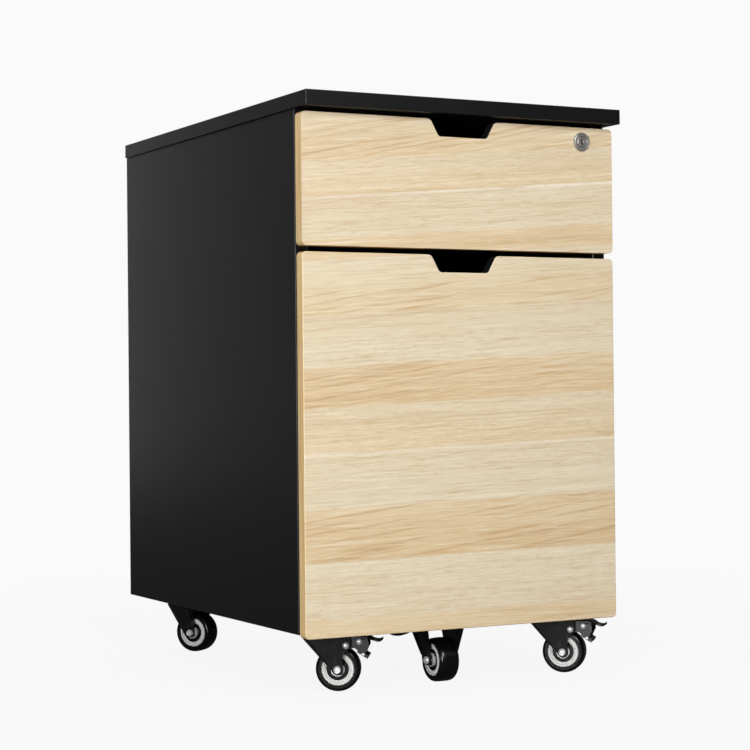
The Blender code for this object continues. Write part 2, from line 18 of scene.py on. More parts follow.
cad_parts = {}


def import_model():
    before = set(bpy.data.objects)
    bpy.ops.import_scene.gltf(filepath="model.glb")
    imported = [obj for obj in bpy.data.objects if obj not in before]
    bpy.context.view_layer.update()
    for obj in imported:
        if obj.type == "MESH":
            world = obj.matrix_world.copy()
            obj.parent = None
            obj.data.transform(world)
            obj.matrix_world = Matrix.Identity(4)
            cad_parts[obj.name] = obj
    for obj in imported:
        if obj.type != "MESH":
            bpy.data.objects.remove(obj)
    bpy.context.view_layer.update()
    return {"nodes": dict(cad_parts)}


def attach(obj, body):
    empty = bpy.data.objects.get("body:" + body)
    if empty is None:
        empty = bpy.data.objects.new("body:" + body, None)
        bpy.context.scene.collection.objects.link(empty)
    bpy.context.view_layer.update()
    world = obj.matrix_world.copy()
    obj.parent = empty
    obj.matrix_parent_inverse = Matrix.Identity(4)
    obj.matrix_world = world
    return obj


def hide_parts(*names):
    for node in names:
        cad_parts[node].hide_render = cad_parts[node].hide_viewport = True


LOG = logging.getLogger("pedestal")
MM = 0.001

Point = tuple[float, float]
Corner = tuple[float, float, float]
Place = tuple[float, float, float]
Colour = tuple[float, float, float]


class Axis(Enum):
    """The axis that an outline is pushed along, or that a profile is turned about."""

    X = "X"
    Y = "Y"
    Z = "Z"


class Side(Enum):
    """The two sides of the cabinet, with the sign that each has along X."""

    LEFT = -1
    RIGHT = 1

    @property
    def word(self) -> str:
        """The side's name as the CAD nodes use it."""
        return self.name.lower()


# ---------------------------------------------------------------- shader toolkit


def tone(red: float, green: float, blue: float) -> Colour:
    """Turn a display colour into the linear one that shaders use.

    Args:
        red: Red from 0 to 255.
        green: Green from 0 to 255.
        blue: Blue from 0 to 255.

    Returns:
        The linear colour, each part from 0 to 1.
    """
    parts = [channel / 255 for channel in (red, green, blue)]
    return tuple(p / 12.92 if p <= 0.04045 else ((p + 0.055) / 1.055) ** 2.4 for p in parts)


class Val:
    """A number inside a shader: each operator on it adds the Math node that works it out."""

    def __init__(self, sheet: "NodeSheet", socket: bpy.types.NodeSocket) -> None:
        """Wrap an output socket of a node sheet."""
        self.sheet = sheet
        self.socket = socket

    def _math(self, operation: str, *values: "Val | float") -> "Val":
        """Add one Math node for an operation on these values."""
        return self.sheet.number("ShaderNodeMath", {"operation": operation}, dict(enumerate(values)))

    def __add__(self, other: "Val | float") -> "Val":
        """self + other."""
        return self._math("ADD", self, other)

    def __radd__(self, other: "Val | float") -> "Val":
        """other + self."""
        return self._math("ADD", other, self)

    def __sub__(self, other: "Val | float") -> "Val":
        """self - other."""
        return self._math("SUBTRACT", self, other)

    def __rsub__(self, other: "Val | float") -> "Val":
        """other - self."""
        return self._math("SUBTRACT", other, self)

    def __mul__(self, other: "Val | float") -> "Val":
        """self * other."""
        return self._math("MULTIPLY", self, other)

    def __rmul__(self, other: "Val | float") -> "Val":
        """other * self."""
        return self._math("MULTIPLY", other, self)

    def __truediv__(self, other: "Val | float") -> "Val":
        """self / other."""
        return self._math("DIVIDE", self, other)

    def __rtruediv__(self, other: "Val | float") -> "Val":
        """other / self."""
        return self._math("DIVIDE", other, self)

    def __abs__(self) -> "Val":
        """The size of self without its sign."""
        return self._math("ABSOLUTE", self)

    def sine(self) -> "Val":
        """The sine of self in radians."""
        return self._math("SINE", self)

    def root(self) -> "Val":
        """The square root of self."""
        return self._math("SQRT", self)

    def step(self, low: float, high: float) -> "Val":
        """Rise smoothly from 0 at low to 1 at high."""
        spread = {"Value": self, "From Min": low, "From Max": high}
        return self.sheet.number("ShaderNodeMapRange", {"interpolation_type": "SMOOTHSTEP"}, spread)

    def between(self, low: float, high: float, soft: float) -> "Val":
        """1 from low to high and 0 outside, with soft ends."""
        return self.step(low - soft, low + soft) * (1 - self.step(high - soft, high + soft))


Source = Val | bpy.types.NodeSocket | float | tuple


class NodeSheet:
    """A node tree and the few ways in which this file adds to it."""

    def __init__(self, tree: bpy.types.NodeTree) -> None:
        """Hold the tree that nodes are added to."""
        self.tree = tree

    def feed(self, socket: bpy.types.NodeSocket, source: Source) -> None:
        """Link a source to a socket, or set the socket's own value.

        Args:
            socket: The input to fill.
            source: A shader number, an output socket, or a plain value.
        """
        if isinstance(source, Val):
            source = source.socket
        if isinstance(source, bpy.types.NodeSocket):
            self.tree.links.new(source, socket)
        elif isinstance(source, tuple) and socket.type == "RGBA":
            socket.default_value = (*source[:3], 1.0)
        else:
            socket.default_value = source

    def node(
        self,
        kind: str,
        settings: Mapping[str, object] | None = None,
        inputs: Mapping[str | int, Source] | None = None,
    ) -> bpy.types.Node:
        """Add a node.

        Args:
            kind: The node's type.
            settings: Its own settings by name; "stops" holds a colour ramp's (place, colour) pairs.
            inputs: Sources for its input sockets, by name or number.

        Returns:
            The node.
        """
        made = self.tree.nodes.new(kind)
        for name, value in (settings or {}).items():
            if name == "stops":
                self._set_stops(made.color_ramp, value)
            else:
                setattr(made, name, value)
        for name, source in (inputs or {}).items():
            self.feed(made.inputs[name], source)
        return made

    @staticmethod
    def _set_stops(ramp: bpy.types.ColorRamp, stops: Sequence[tuple[float, Colour]]) -> None:
        """Give a colour ramp its stops.

        Args:
            ramp: The ramp to fill.
            stops: Places from 0 to 1 in rising order, each with its colour.
        """
        while len(ramp.elements) < len(stops):
            ramp.elements.new(1.0)
        for element, (place, colour) in zip(ramp.elements, stops):
            element.position = place
            element.color = (*colour, 1.0)

    def number(
        self,
        kind: str,
        settings: Mapping[str, object] | None = None,
        inputs: Mapping[str | int, Source] | None = None,
    ) -> Val:
        """Add a node and take its first output as a number.

        Args:
            kind: The node's type.
            settings: Its own settings by name.
            inputs: Sources for its input sockets.

        Returns:
            The output as a shader number.
        """
        return Val(self, self.node(kind, settings, inputs).outputs[0])

    def split(self, vector: bpy.types.NodeSocket) -> tuple[Val, Val, Val]:
        """Take a vector apart into its three numbers."""
        made = self.node("ShaderNodeSeparateXYZ", inputs={0: vector})
        return tuple(Val(self, output) for output in made.outputs)

    def joined(self, x: Source, y: Source, z: Source) -> bpy.types.NodeSocket:
        """Put three numbers together into a vector."""
        return self.node("ShaderNodeCombineXYZ", inputs={0: x, 1: y, 2: z}).outputs[0]

    def noise(self, vector: Source, scale: float, detail: float = 2.0, rough: float = 0.5) -> Val:
        """Read fractal noise at a place.

        Args:
            vector: Where to read it.
            scale: How many cells there are per unit.
            detail: How many octaves are added.
            rough: How strong the finer octaves are.

        Returns:
            The noise, from 0 to 1 and near 0.5 on average.
        """
        inputs = {"Vector": vector, "Scale": scale, "Detail": detail, "Roughness": rough}
        return self.number("ShaderNodeTexNoise", None, inputs)

    def mixed(self, share: Source, first: Source, second: Source) -> bpy.types.NodeSocket:
        """Mix two colours.

        Args:
            share: How much of the second colour there is, from 0 to 1.
            first: The colour at share 0.
            second: The colour that is mixed in.

        Returns:
            The mixed colour.
        """
        settings = {"data_type": "RGBA"}
        return self.node("ShaderNodeMix", settings, {0: share, 6: first, 7: second}).outputs[2]


class Shader(NodeSheet):
    """One material: a Principled shader and the nodes that feed it."""

    def __init__(self, name: str) -> None:
        """Start an empty material with this name."""
        self.material = bpy.data.materials.new(name)
        self.material.use_nodes = True
        super().__init__(self.material.node_tree)
        self.surface = self.tree.nodes["Principled BSDF"]
        self.coordinates = self.node("ShaderNodeTexCoord")

    @property
    def place(self) -> bpy.types.NodeSocket:
        """The point's place on its own object, in metres."""
        return self.coordinates.outputs["Object"]

    @property
    def facing(self) -> bpy.types.NodeSocket:
        """The surface's direction on its own object."""
        return self.coordinates.outputs["Normal"]

    def stretched(self, x: float, y: float, z: float) -> bpy.types.NodeSocket:
        """The place with each direction scaled, so that noise read there is drawn out."""
        settings = {"operation": "MULTIPLY"}
        return self.node("ShaderNodeVectorMath", settings, {0: self.place, 1: (x, y, z)}).outputs[0]

    def set(self, **sources: Source) -> None:
        """Fill sockets of the Principled shader.

        Args:
            **sources: A source for each socket, named in lower case with underscores for spaces.
        """
        names = {socket.name.lower().replace(" ", "_"): socket.name for socket in self.surface.inputs}
        for name, source in sources.items():
            self.feed(self.surface.inputs[names[name]], source)

    def bump(self, height: Val, depth_mm: float, strength: float = 0.5) -> None:
        """Raise the surface by a height pattern.

        Args:
            height: The pattern, from 0 to 1.
            depth_mm: How high a 1 in the pattern stands, in millimetres.
            strength: How much of the effect is kept.
        """
        inputs = {"Height": height, "Distance": depth_mm * MM, "Strength": strength}
        self.feed(self.surface.inputs["Normal"], self.node("ShaderNodeBump", None, inputs).outputs[0])


# ---------------------------------------------------------------- finishes


@dataclass(frozen=True)
class Finish:
    """What every finish has: the record's slot that it belongs to, and one material made on first use."""

    slot: str

    def material(self) -> bpy.types.Material:
        """The finish's material.

        Returns:
            The one material that all pieces with this finish share.
        """
        name = f"{type(self).__name__}_{self.slot}"
        found = bpy.data.materials.get(name)
        if found is None:
            shader = Shader(name)
            self.paint(shader)
            found = shader.material
        return found

    def paint(self, shader: Shader) -> None:
        """Fill in the shader. Each finish has its own way."""
        raise NotImplementedError


@dataclass(frozen=True)
class Strip:
    """One veneer strip of the laminate: where its lower edge is in the middle, and its colours."""

    low: float
    foot: Colour
    head: Colour


CREAM = tone(229, 215, 187)
PALE = tone(226, 209, 179)
TAN = tone(226, 203, 165)
DEEP_TAN = tone(221, 194, 152)
SAP_WHITE = tone(246, 238, 222)

STRIPS = (
    Strip(60.0, TAN, TAN),
    Strip(87.4, PALE, CREAM),
    Strip(151.0, DEEP_TAN, TAN),
    Strip(209.2, CREAM, PALE),
    Strip(268.6, SAP_WHITE, SAP_WHITE),
    Strip(270.2, TAN, PALE),
    Strip(322.1, DEEP_TAN, TAN),
    Strip(366.9, CREAM, PALE),
    Strip(424.3, TAN, CREAM),
    Strip(485.0, DEEP_TAN, TAN),
    Strip(508.4, PALE, PALE),
    Strip(553.9, SAP_WHITE, SAP_WHITE),
    Strip(555.5, TAN, PALE),
    Strip(595.8, TAN, PALE),
)


@dataclass(frozen=True)
class OakLaminate(Finish):
    """Printed oak: strips that fan out slightly, streaks, slanted figure, pores and plain edge banding."""

    slot: str = "oak_laminate"
    fan: float = 0.165
    fan_foot: float = 0.060
    low: float = 60.0
    high: float = 660.0
    figure_slant: float = 0.11
    figured: tuple[Point, ...] = ((151.0, 209.0), (322.1, 366.9), (424.3, 452.0), (595.8, 640.0))
    speckled: tuple[Point, ...] = ((87.4, 151.0), (240.0, 322.0), (366.9, 400.0), (508.4, 595.8))
    notches: tuple[Point, ...] = ((460.0, 483.0), (610.0, 633.0))
    notch_half: float = 45.0

    def paint(self, shader: Shader) -> None:
        """Paint strips by height, lay the grain over them and band the edges.

        Args:
            shader: The shader to fill.
        """
        x, _, z = shader.split(shader.place)
        level = (z + x * (self.fan * self.fan_foot)) / (1 + x * self.fan)
        strips = self._strips(shader, level)
        figured = self._inside(level, self.figured)
        waves = shader.noise(shader.stretched(7.0, 0.0, 16.0), 1.0, 2.0) - 0.5
        drift = waves * (0.003 + figured * 0.007)
        slanted = level - x * self.figure_slant + drift
        streak = shader.noise(shader.joined(x * 2.4, 0.0, (level + drift) * 120), 1.0, 3.0, 0.55)
        figure = shader.noise(shader.joined(x * 5.0, 3.0, slanted * 260), 1.0, 2.0, 0.6)
        fibre = shader.noise(shader.joined(x * 11, 7.0, (level + drift) * 430), 1.0, 3.0, 0.65)
        hair = shader.noise(shader.joined(x * 45, 9.0, level * 800), 1.0, 1.0)
        speckle = shader.noise(shader.joined(x * 70, 11.0, level * 560), 1.0, 1.0)
        dotted = 0.35 + self._inside(level, self.speckled) * 0.65
        brown = streak.step(0.48, 0.72) * 0.28 + figure.step(0.50, 0.66) * (figured * 0.55 + 0.14)
        brown = brown + fibre.step(0.50, 0.70) * 0.40 + hair.step(0.50, 0.72) * 0.20
        light = (1 - streak).step(0.50, 0.72) * 0.26 + (1 - fibre).step(0.50, 0.70) * 0.40
        light = light + (1 - hair).step(0.52, 0.74) * 0.20
        colour = shader.mixed(brown, strips, tone(200, 168, 124))
        colour = shader.mixed(light, colour, tone(243, 232, 208))
        colour = shader.mixed(speckle.step(0.58, 0.70) * dotted * 0.26, colour, tone(192, 160, 120))
        colour = shader.mixed((1 - speckle).step(0.58, 0.70) * dotted * 0.24, colour, tone(246, 238, 218))
        shader.set(
            base_color=self._banded(shader, colour, x, z),
            roughness=0.42 + fibre * 0.14,
            specular_ior_level=0.40,
        )
        shader.bump(fibre * 0.6 + hair * 0.4, 0.08)

    def _strips(self, shader: Shader, level: Val) -> bpy.types.NodeSocket:
        """Colour the strips by height.

        Args:
            shader: The shader to fill.
            level: The height that a point has on the cabinet's centre line, along its strip.

        Returns:
            The strips' colour.
        """
        span = self.high - self.low
        stops = []
        for strip, following in zip(STRIPS, (*STRIPS[1:], Strip(self.high, PALE, PALE))):
            stops.append(((strip.low - self.low) / span + 0.0002, strip.foot))
            stops.append(((following.low - self.low) / span - 0.0002, strip.head))
        share = (level - self.low * MM) / (span * MM)
        return shader.node("ShaderNodeValToRGB", {"stops": stops}, {0: share}).outputs[0]

    @staticmethod
    def _inside(level: Val, spans: Sequence[Point]) -> Val:
        """1 inside any of several spans of height and 0 between them.

        Args:
            level: The height.
            spans: The lowest and highest height of each span, in millimetres.

        Returns:
            The mask.
        """
        first, *others = (level.between(low * MM, high * MM, 0.001) for low, high in spans)
        return sum(others, first)

    def _banded(self, shader: Shader, face: bpy.types.NodeSocket, x: Val, z: Val) -> bpy.types.NodeSocket:
        """Cover the board's edges with striped banding, and the finger notch's walls with black.

        Args:
            shader: The shader to fill.
            face: The colour of the board's face.
            x: The place across the front.
            z: The height.

        Returns:
            The colour of faces and edges together.
        """
        _, across, _ = shader.split(shader.facing)
        edge = 1 - abs(across).step(0.50, 0.72)
        stripes = shader.noise(shader.stretched(9.0, 620.0, 9.0), 1.0, 2.0)
        banding = shader.mixed(stripes.step(0.36, 0.64), tone(240, 209, 155), tone(217, 179, 120))
        # The finger notch's walls are coloured near black.
        half = self.notch_half * MM
        inside = self._inside(z, self.notches) * (1 - abs(x).step(half, half + MM))
        edge_colour = shader.mixed(inside, banding, (0.006, 0.006, 0.006))
        return shader.mixed(edge, face, edge_colour)


@dataclass(frozen=True)
class BlackLaminate(Finish):
    """Black melamine board: a fine pearl texture, faint cloudiness and a few pale specks."""

    slot: str = "black_laminate"

    def paint(self, shader: Shader) -> None:
        """Paint a deep black with a fine pearl and uneven sheen.

        Args:
            shader: The shader to fill.
        """
        pearl = shader.noise(shader.place, 1400.0, 2.0, 0.6)
        cloud = shader.noise(shader.stretched(1.0, 1.0, 0.6), 9.0, 3.0)
        specks = shader.noise(shader.place, 2600.0, 0.0).step(0.74, 0.80)
        colour = shader.mixed(cloud, (0.0030, 0.0030, 0.0035), (0.0055, 0.0054, 0.0062))
        colour = shader.mixed(specks * 0.35, colour, (0.030, 0.030, 0.033))
        shader.set(base_color=colour, roughness=0.30 + cloud * 0.08 + pearl * 0.05)
        shader.set(specular_ior_level=0.42)
        shader.bump(pearl, 0.035, 0.6)


@dataclass(frozen=True)
class DrawerBoard(Finish):
    """Light grey drawer board with a short linen fleck."""

    slot: str = "drawer_board"

    def paint(self, shader: Shader) -> None:
        """Paint the grey and weave the fleck into it.

        Args:
            shader: The shader to fill.
        """
        warp = shader.noise(shader.stretched(900.0, 60.0, 900.0), 1.0, 2.0)
        weft = shader.noise(shader.stretched(60.0, 900.0, 60.0), 1.0, 2.0)
        fleck = (warp + weft) * 0.5
        colour = shader.mixed(fleck.step(0.40, 0.62), tone(186, 188, 190), tone(207, 208, 209))
        shader.set(base_color=colour, roughness=0.46 + fleck * 0.12)
        shader.bump(fleck, 0.04, 0.6)


@dataclass(frozen=True)
class SlideZinc(Finish):
    """Zinc-plated slide steel, drawn lengthwise, with blotches of passivation and light grease."""

    slot: str = "slide_zinc"

    def paint(self, shader: Shader) -> None:
        """Paint the metal with lengthwise lines and soft blotches.

        Args:
            shader: The shader to fill.
        """
        lines = shader.noise(shader.stretched(1500.0, 14.0, 1500.0), 1.0, 2.0)
        blotch = shader.noise(shader.place, 38.0, 3.0, 0.6)
        colour = shader.mixed(blotch.step(0.35, 0.70), tone(196, 199, 203), tone(214, 213, 206))
        colour = shader.mixed(lines.step(0.45, 0.75) * 0.30, colour, tone(150, 153, 158))
        shader.set(base_color=colour, metallic=1.0, roughness=0.26 + lines * 0.12 + blotch * 0.10)
        shader.bump(lines, 0.02)


@dataclass(frozen=True)
class RingedMetal(Finish):
    """Turned metal with rings about its own Y axis: the lock's nickel, or a zinc bolt or rivet."""

    slot: str
    bright: Colour = tone(206, 204, 198)
    dark: Colour = tone(150, 148, 144)
    pitch: float = 0.9
    roughness: float = 0.22
    metallic: float = 1.0

    def paint(self, shader: Shader) -> None:
        """Paint the metal with fine turning marks and a little tarnish.

        Args:
            shader: The shader to fill.
        """
        x, _, z = shader.split(shader.place)
        radius = (x * x + z * z).root()
        rings = (radius * (2 * math.pi / (self.pitch * MM))).sine() * 0.5 + 0.5
        tarnish = shader.noise(shader.place, 420.0, 3.0, 0.6)
        colour = shader.mixed(tarnish.step(0.40, 0.75) * 0.6, self.bright, self.dark)
        colour = shader.mixed(rings.step(0.4, 1.0) * 0.5, colour, self.dark)
        shader.set(base_color=colour, metallic=self.metallic)
        shader.set(roughness=self.roughness + tarnish * 0.16 + rings * 0.05)
        shader.bump(rings, 0.03)


@dataclass(frozen=True)
class PowderCoat(Finish):
    """Black powder coat on pressed steel: orange peel and slightly worn, paler high spots."""

    slot: str = "black_powder_coat"

    def paint(self, shader: Shader) -> None:
        """Paint the coat, its peel and a little scuffing.

        Args:
            shader: The shader to fill.
        """
        peel = shader.noise(shader.place, 900.0, 2.0, 0.5)
        scuff = shader.noise(shader.place, 130.0, 4.0, 0.65).step(0.52, 0.74)
        colour = shader.mixed(scuff * 0.5, (0.004, 0.004, 0.0045), (0.016, 0.016, 0.018))
        shader.set(base_color=colour, roughness=0.26 + peel * 0.10 + scuff * 0.12)
        shader.set(specular_ior_level=0.42)
        shader.bump(peel, 0.06, 0.6)


@dataclass(frozen=True)
class TyreRubber(Finish):
    """Glossy black polyurethane with faint rolled-in scuffs round the tread."""

    slot: str = "black_tyre"

    def paint(self, shader: Shader) -> None:
        """Paint the tyre with scuffs that run round the wheel's Y axis.

        Args:
            shader: The shader to fill.
        """
        x, across, z = shader.split(shader.place)
        radius = (x * x + z * z).root()
        rolled = shader.noise(shader.joined(radius * 900, across * 900, 0.0), 1.0, 3.0)
        dust = shader.noise(shader.place, 260.0, 4.0, 0.7).step(0.50, 0.80)
        colour = shader.mixed(dust * 0.30, (0.003, 0.003, 0.0032), (0.012, 0.012, 0.012))
        shader.set(base_color=colour, roughness=0.15 + rolled * 0.08 + dust * 0.08)
        shader.bump(rolled, 0.015)


@dataclass(frozen=True)
class CorePlastic(Finish):
    """Moulded wheel-core plastic with dust, and rings of painted shade that stand for the shade between fine
    moulded ribs.
    """

    slot: str = "grey_core"
    colour: Colour = tone(228, 228, 225)
    # The colour that the painted rib shade and the dust darken towards.
    shade: Colour = tone(120, 120, 117)
    rib: float = 1.87

    def paint(self, shader: Shader) -> None:
        """Paint the plastic with dust and with rings of painted rib shade about its Y axis.

        Args:
            shader: The shader to fill.
        """
        x, _, z = shader.split(shader.place)
        radius = (x * x + z * z).root()
        rings = (radius * (2 * math.pi / (self.rib * MM))).sine() * 0.5 + 0.5
        dust = shader.noise(shader.place, 330.0, 4.0, 0.7)
        # Painted shade: the rings darken the plastic to stand for the shade between moulded ribs; the dust
        # share is real dust.
        rib_shade_and_dust = rings.step(0.45, 1.0) * 0.70 + dust.step(0.5, 0.8) * 0.2
        colour = shader.mixed(rib_shade_and_dust, self.colour, self.shade)
        shader.set(base_color=colour, roughness=0.32 + dust * 0.16)
        shader.bump(rings, 0.10)


OAK = OakLaminate()
BLACK = BlackLaminate()
BOARD = DrawerBoard()
ZINC_SLIDE = SlideZinc()
NICKEL = RingedMetal(
    "lock_nickel", bright=tone(188, 186, 181), dark=tone(104, 102, 99), roughness=0.34, metallic=0.75
)
BOLT = RingedMetal(
    "zinc_bolt", bright=tone(240, 240, 240), dark=tone(150, 150, 152), pitch=1.5, roughness=0.38, metallic=0.6
)
COAT = PowderCoat()
TYRE = TyreRubber()
CORE = CorePlastic()


# ---------------------------------------------------------------- shapes


def fillet(corners: Iterable[Corner], steps: int = 10) -> list[Vector]:
    """Round the corners of a closed outline.

    Args:
        corners: Each corner as (a, b, radius); radius 0 keeps it sharp.
        steps: How many straight pieces make up each round.

    Returns:
        The outline's points.
    """
    corners = list(corners)
    outline = []
    for i, (a, b, radius) in enumerate(corners):
        here = Vector((a, b))
        if radius == 0:
            outline.append(here)
            continue
        before = (Vector(corners[i - 1][:2]) - here).normalized()
        after = (Vector(corners[(i + 1) % len(corners)][:2]) - here).normalized()
        half = before.angle(after) / 2
        arm = before * radius / math.tan(half) - (before + after).normalized() * radius / math.sin(half)
        centre = here + (before + after).normalized() * radius / math.sin(half)
        turn = (math.pi - 2 * half) * (-1 if before.cross(after) > 0 else 1)
        for k in range(steps + 1):
            outline.append(centre + Matrix.Rotation(turn * k / steps, 2) @ arm)
    return outline


def rectangle(low: Point, high: Point, radius: float = 0.0, steps: int = 6) -> list[Vector]:
    """Draw a rectangle between two corners, with its own corners rounded."""
    corners = [(low[0], low[1]), (high[0], low[1]), (high[0], high[1]), (low[0], high[1])]
    return fillet([(a, b, radius) for a, b in corners], steps)


class Form:
    """A closed shape in millimetres that is drawn, joined and cut before it becomes a piece."""

    def __init__(self, mesh: bpy.types.Mesh) -> None:
        """Hold the mesh that the shape is made of."""
        self.mesh = mesh

    @classmethod
    def from_bmesh(cls, bm: bmesh.types.BMesh) -> "Form":
        """Turn an edited mesh into a shape whose faces point out.

        Args:
            bm: The edited mesh, which is used up.

        Returns:
            The shape.
        """
        bmesh.ops.recalc_face_normals(bm, faces=bm.faces)
        mesh = bpy.data.meshes.new("form")
        bm.to_mesh(mesh)
        bm.free()
        return cls(mesh)

    @classmethod
    def prism(cls, outline: Sequence[Vector | Point], axis: Axis, low: float, high: float) -> "Form":
        """Push an outline along an axis.

        Args:
            outline: Points in YZ for X, in XZ for Y, or in XY for Z.
            axis: The direction to push along.
            low: Where the shape starts.
            high: Where it ends.

        Returns:
            The shape.
        """
        lay = {
            Axis.X: lambda p, h: (h, p[0], p[1]),
            Axis.Y: lambda p, h: (p[0], h, p[1]),
            Axis.Z: lambda p, h: (p[0], p[1], h),
        }[axis]
        bm = bmesh.new()
        face = bm.faces.new([bm.verts.new(lay(p, low)) for p in outline])
        extruded = bmesh.ops.extrude_face_region(bm, geom=[face])
        moved = [item for item in extruded["geom"] if isinstance(item, bmesh.types.BMVert)]
        bmesh.ops.translate(bm, vec=lay((0, 0), high - low), verts=moved)
        return cls.from_bmesh(bm)

    @classmethod
    def block(cls, low: Place, high: Place) -> "Form":
        """A box between two corners, to join to others or to cut with."""
        return cls.prism(rectangle(low[:2], high[:2]), Axis.Z, low[2], high[2])

    @classmethod
    def turned(
        cls, profile: Sequence[Point], axis: Axis, centre: Place = (0.0, 0.0, 0.0), steps: int = 48
    ) -> "Form":
        """Turn a profile about an axis.

        Args:
            profile: (radius, height) points. The profile runs on from its end to its start.
            axis: Y or Z.
            centre: A point of the axis.
            steps: How many sides the turned shape has.

        Returns:
            The shape.
        """
        lay = {
            Axis.Y: lambda r, t, h: (r * math.sin(t), h, -r * math.cos(t)),
            Axis.Z: lambda r, t, h: (r * math.sin(t), -r * math.cos(t), h),
        }[axis]
        bm = bmesh.new()
        rings = []
        for radius, height in profile:
            count = 1 if radius == 0 else steps
            points = [lay(radius, 2 * math.pi * k / steps, height) for k in range(count)]
            rings.append([bm.verts.new(Vector(p) + Vector(centre)) for p in points])
        for i, ring in enumerate(rings):
            following = rings[(i + 1) % len(rings)]
            if len(ring) == 1 and len(following) == 1:
                continue
            for k in range(steps):
                quad = [ring[k % len(ring)], ring[(k + 1) % len(ring)]]
                quad += [following[(k + 1) % len(following)], following[k % len(following)]]
                bm.faces.new(list(dict.fromkeys(quad)))
        return cls.from_bmesh(bm)

    @classmethod
    def hull(cls, points: Iterable[Place]) -> "Form":
        """Wrap a few points in the smallest convex shape.

        Args:
            points: The points to wrap.

        Returns:
            The shape.
        """
        bm = bmesh.new()
        for point in points:
            bm.verts.new(point)
        bmesh.ops.convex_hull(bm, input=bm.verts)
        return cls.from_bmesh(bm)

    @classmethod
    def gathered(cls, forms: Iterable["Form"]) -> "Form":
        """Put several shapes into one, as they are.

        Args:
            forms: The shapes, which may touch.

        Returns:
            One shape with all of them in it.
        """
        bm = bmesh.new()
        for form in forms:
            bm.from_mesh(form.mesh)
        mesh = bpy.data.meshes.new("form")
        bm.to_mesh(mesh)
        bm.free()
        return cls(mesh)

    def moved(self, *offset: float) -> "Form":
        """A copy of the shape, moved by an offset."""
        mesh = self.mesh.copy()
        mesh.transform(Matrix.Translation(offset))
        return Form(mesh)

    def spun(self, turn_deg: float) -> "Form":
        """A copy of the shape, turned about +Z."""
        mesh = self.mesh.copy()
        mesh.transform(Matrix.Rotation(math.radians(turn_deg), 4, "Z"))
        return Form(mesh)

    def leaned(self, slope: float, level: float) -> "Form":
        """A copy of the shape, pushed along Y by a slope times its height above a level."""
        mesh = self.mesh.copy()
        shear = Matrix.Identity(4)
        shear[1][2], shear[1][3] = slope, -slope * level
        mesh.transform(shear)
        return Form(mesh)

    def combined(
        self, add: Sequence["Form"] = (), cut: Sequence["Form"] = (), within: Sequence["Form"] = ()
    ) -> "Form":
        """Keep what the shape shares with others, join more to it and cut more from it.

        Args:
            add: Shapes to join.
            cut: Shapes to cut away.
            within: Shapes to stay inside.

        Returns:
            The shape that is left.
        """
        work = bpy.data.objects.new("work", self.mesh)
        bpy.context.scene.collection.objects.link(work)
        helpers = []
        for operation, forms in (("INTERSECT", within), ("UNION", add), ("DIFFERENCE", cut)):
            for form in forms:
                helper = bpy.data.objects.new("helper", form.mesh)
                bpy.context.scene.collection.objects.link(helper)
                modifier = work.modifiers.new(operation.title(), "BOOLEAN")
                modifier.operation = operation
                modifier.solver = "EXACT"
                modifier.object = helper
                helpers.append(helper)
        graph = bpy.context.evaluated_depsgraph_get()
        made = bpy.data.meshes.new_from_object(work.evaluated_get(graph))
        for obj in (work, *helpers):
            bpy.data.objects.remove(obj, do_unlink=True)
        return Form(made)


@dataclass(frozen=True)
class Seat:
    """Where a piece stands: its CAD body, a point in millimetres and a turn about +Z in degrees."""

    body: str
    at: Place = (0.0, 0.0, 0.0)
    turn_deg: float = 0.0

    def moved(self, offset: Place, body: str | None = None) -> "Seat":
        """A seat moved along this one's own directions.

        Args:
            offset: How far to move, in millimetres.
            body: The body to ride on instead of this seat's own.

        Returns:
            The new seat.
        """
        spun = Matrix.Rotation(math.radians(self.turn_deg), 3, "Z") @ Vector(offset)
        return replace(self, at=tuple(Vector(self.at) + spun), body=body or self.body)


def place(
    name: str,
    form: Form,
    finish: Finish,
    seat: Seat,
    ease: float = 0.0,
    replaces: Sequence[str] = (),
) -> bpy.types.Object:
    """Put a finished piece in the scene and let it ride on its body.

    Args:
        name: The piece's name.
        form: Its shape about its own origin, in millimetres.
        finish: Its finish.
        seat: Where it stands and what it rides on.
        ease: How far its sharp edges are rounded, in millimetres.
        replaces: The CAD nodes that it stands for.

    Returns:
        The piece.
    """
    mesh = form.mesh.copy()
    mesh.transform(Matrix.Scale(MM, 4))
    mesh.name = name
    mesh.materials.clear()
    mesh.materials.append(finish.material())
    mesh.shade_smooth()
    mesh.set_sharp_from_angle(angle=math.radians(34))
    piece = bpy.data.objects.new(name, mesh)
    bpy.context.scene.collection.objects.link(piece)
    piece.location = Vector(seat.at) * MM
    piece.rotation_euler.z = math.radians(seat.turn_deg)
    if ease:
        bevel = piece.modifiers.new("Ease", "BEVEL")
        bevel.width = ease * MM
        bevel.segments = 3
        bevel.limit_method = "ANGLE"
        bevel.angle_limit = math.radians(50)
        bevel.harden_normals = True
    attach(piece, seat.body)
    if replaces:
        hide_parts(*replaces)
    LOG.info("%s: %s on %s", name, finish.slot, seat.body)
    return piece


def dress(nodes: Mapping[str, bpy.types.Object], finish: Finish, *names: str) -> None:
    """Give carried-over CAD nodes their finish.

    Args:
        nodes: Every CAD node by name.
        finish: The finish for these nodes.
        *names: The nodes to dress.
    """
    for name in names:
        for slot in nodes[name].material_slots:
            slot.material = finish.material()
        LOG.info("%s: %s, as packed", name, finish.slot)


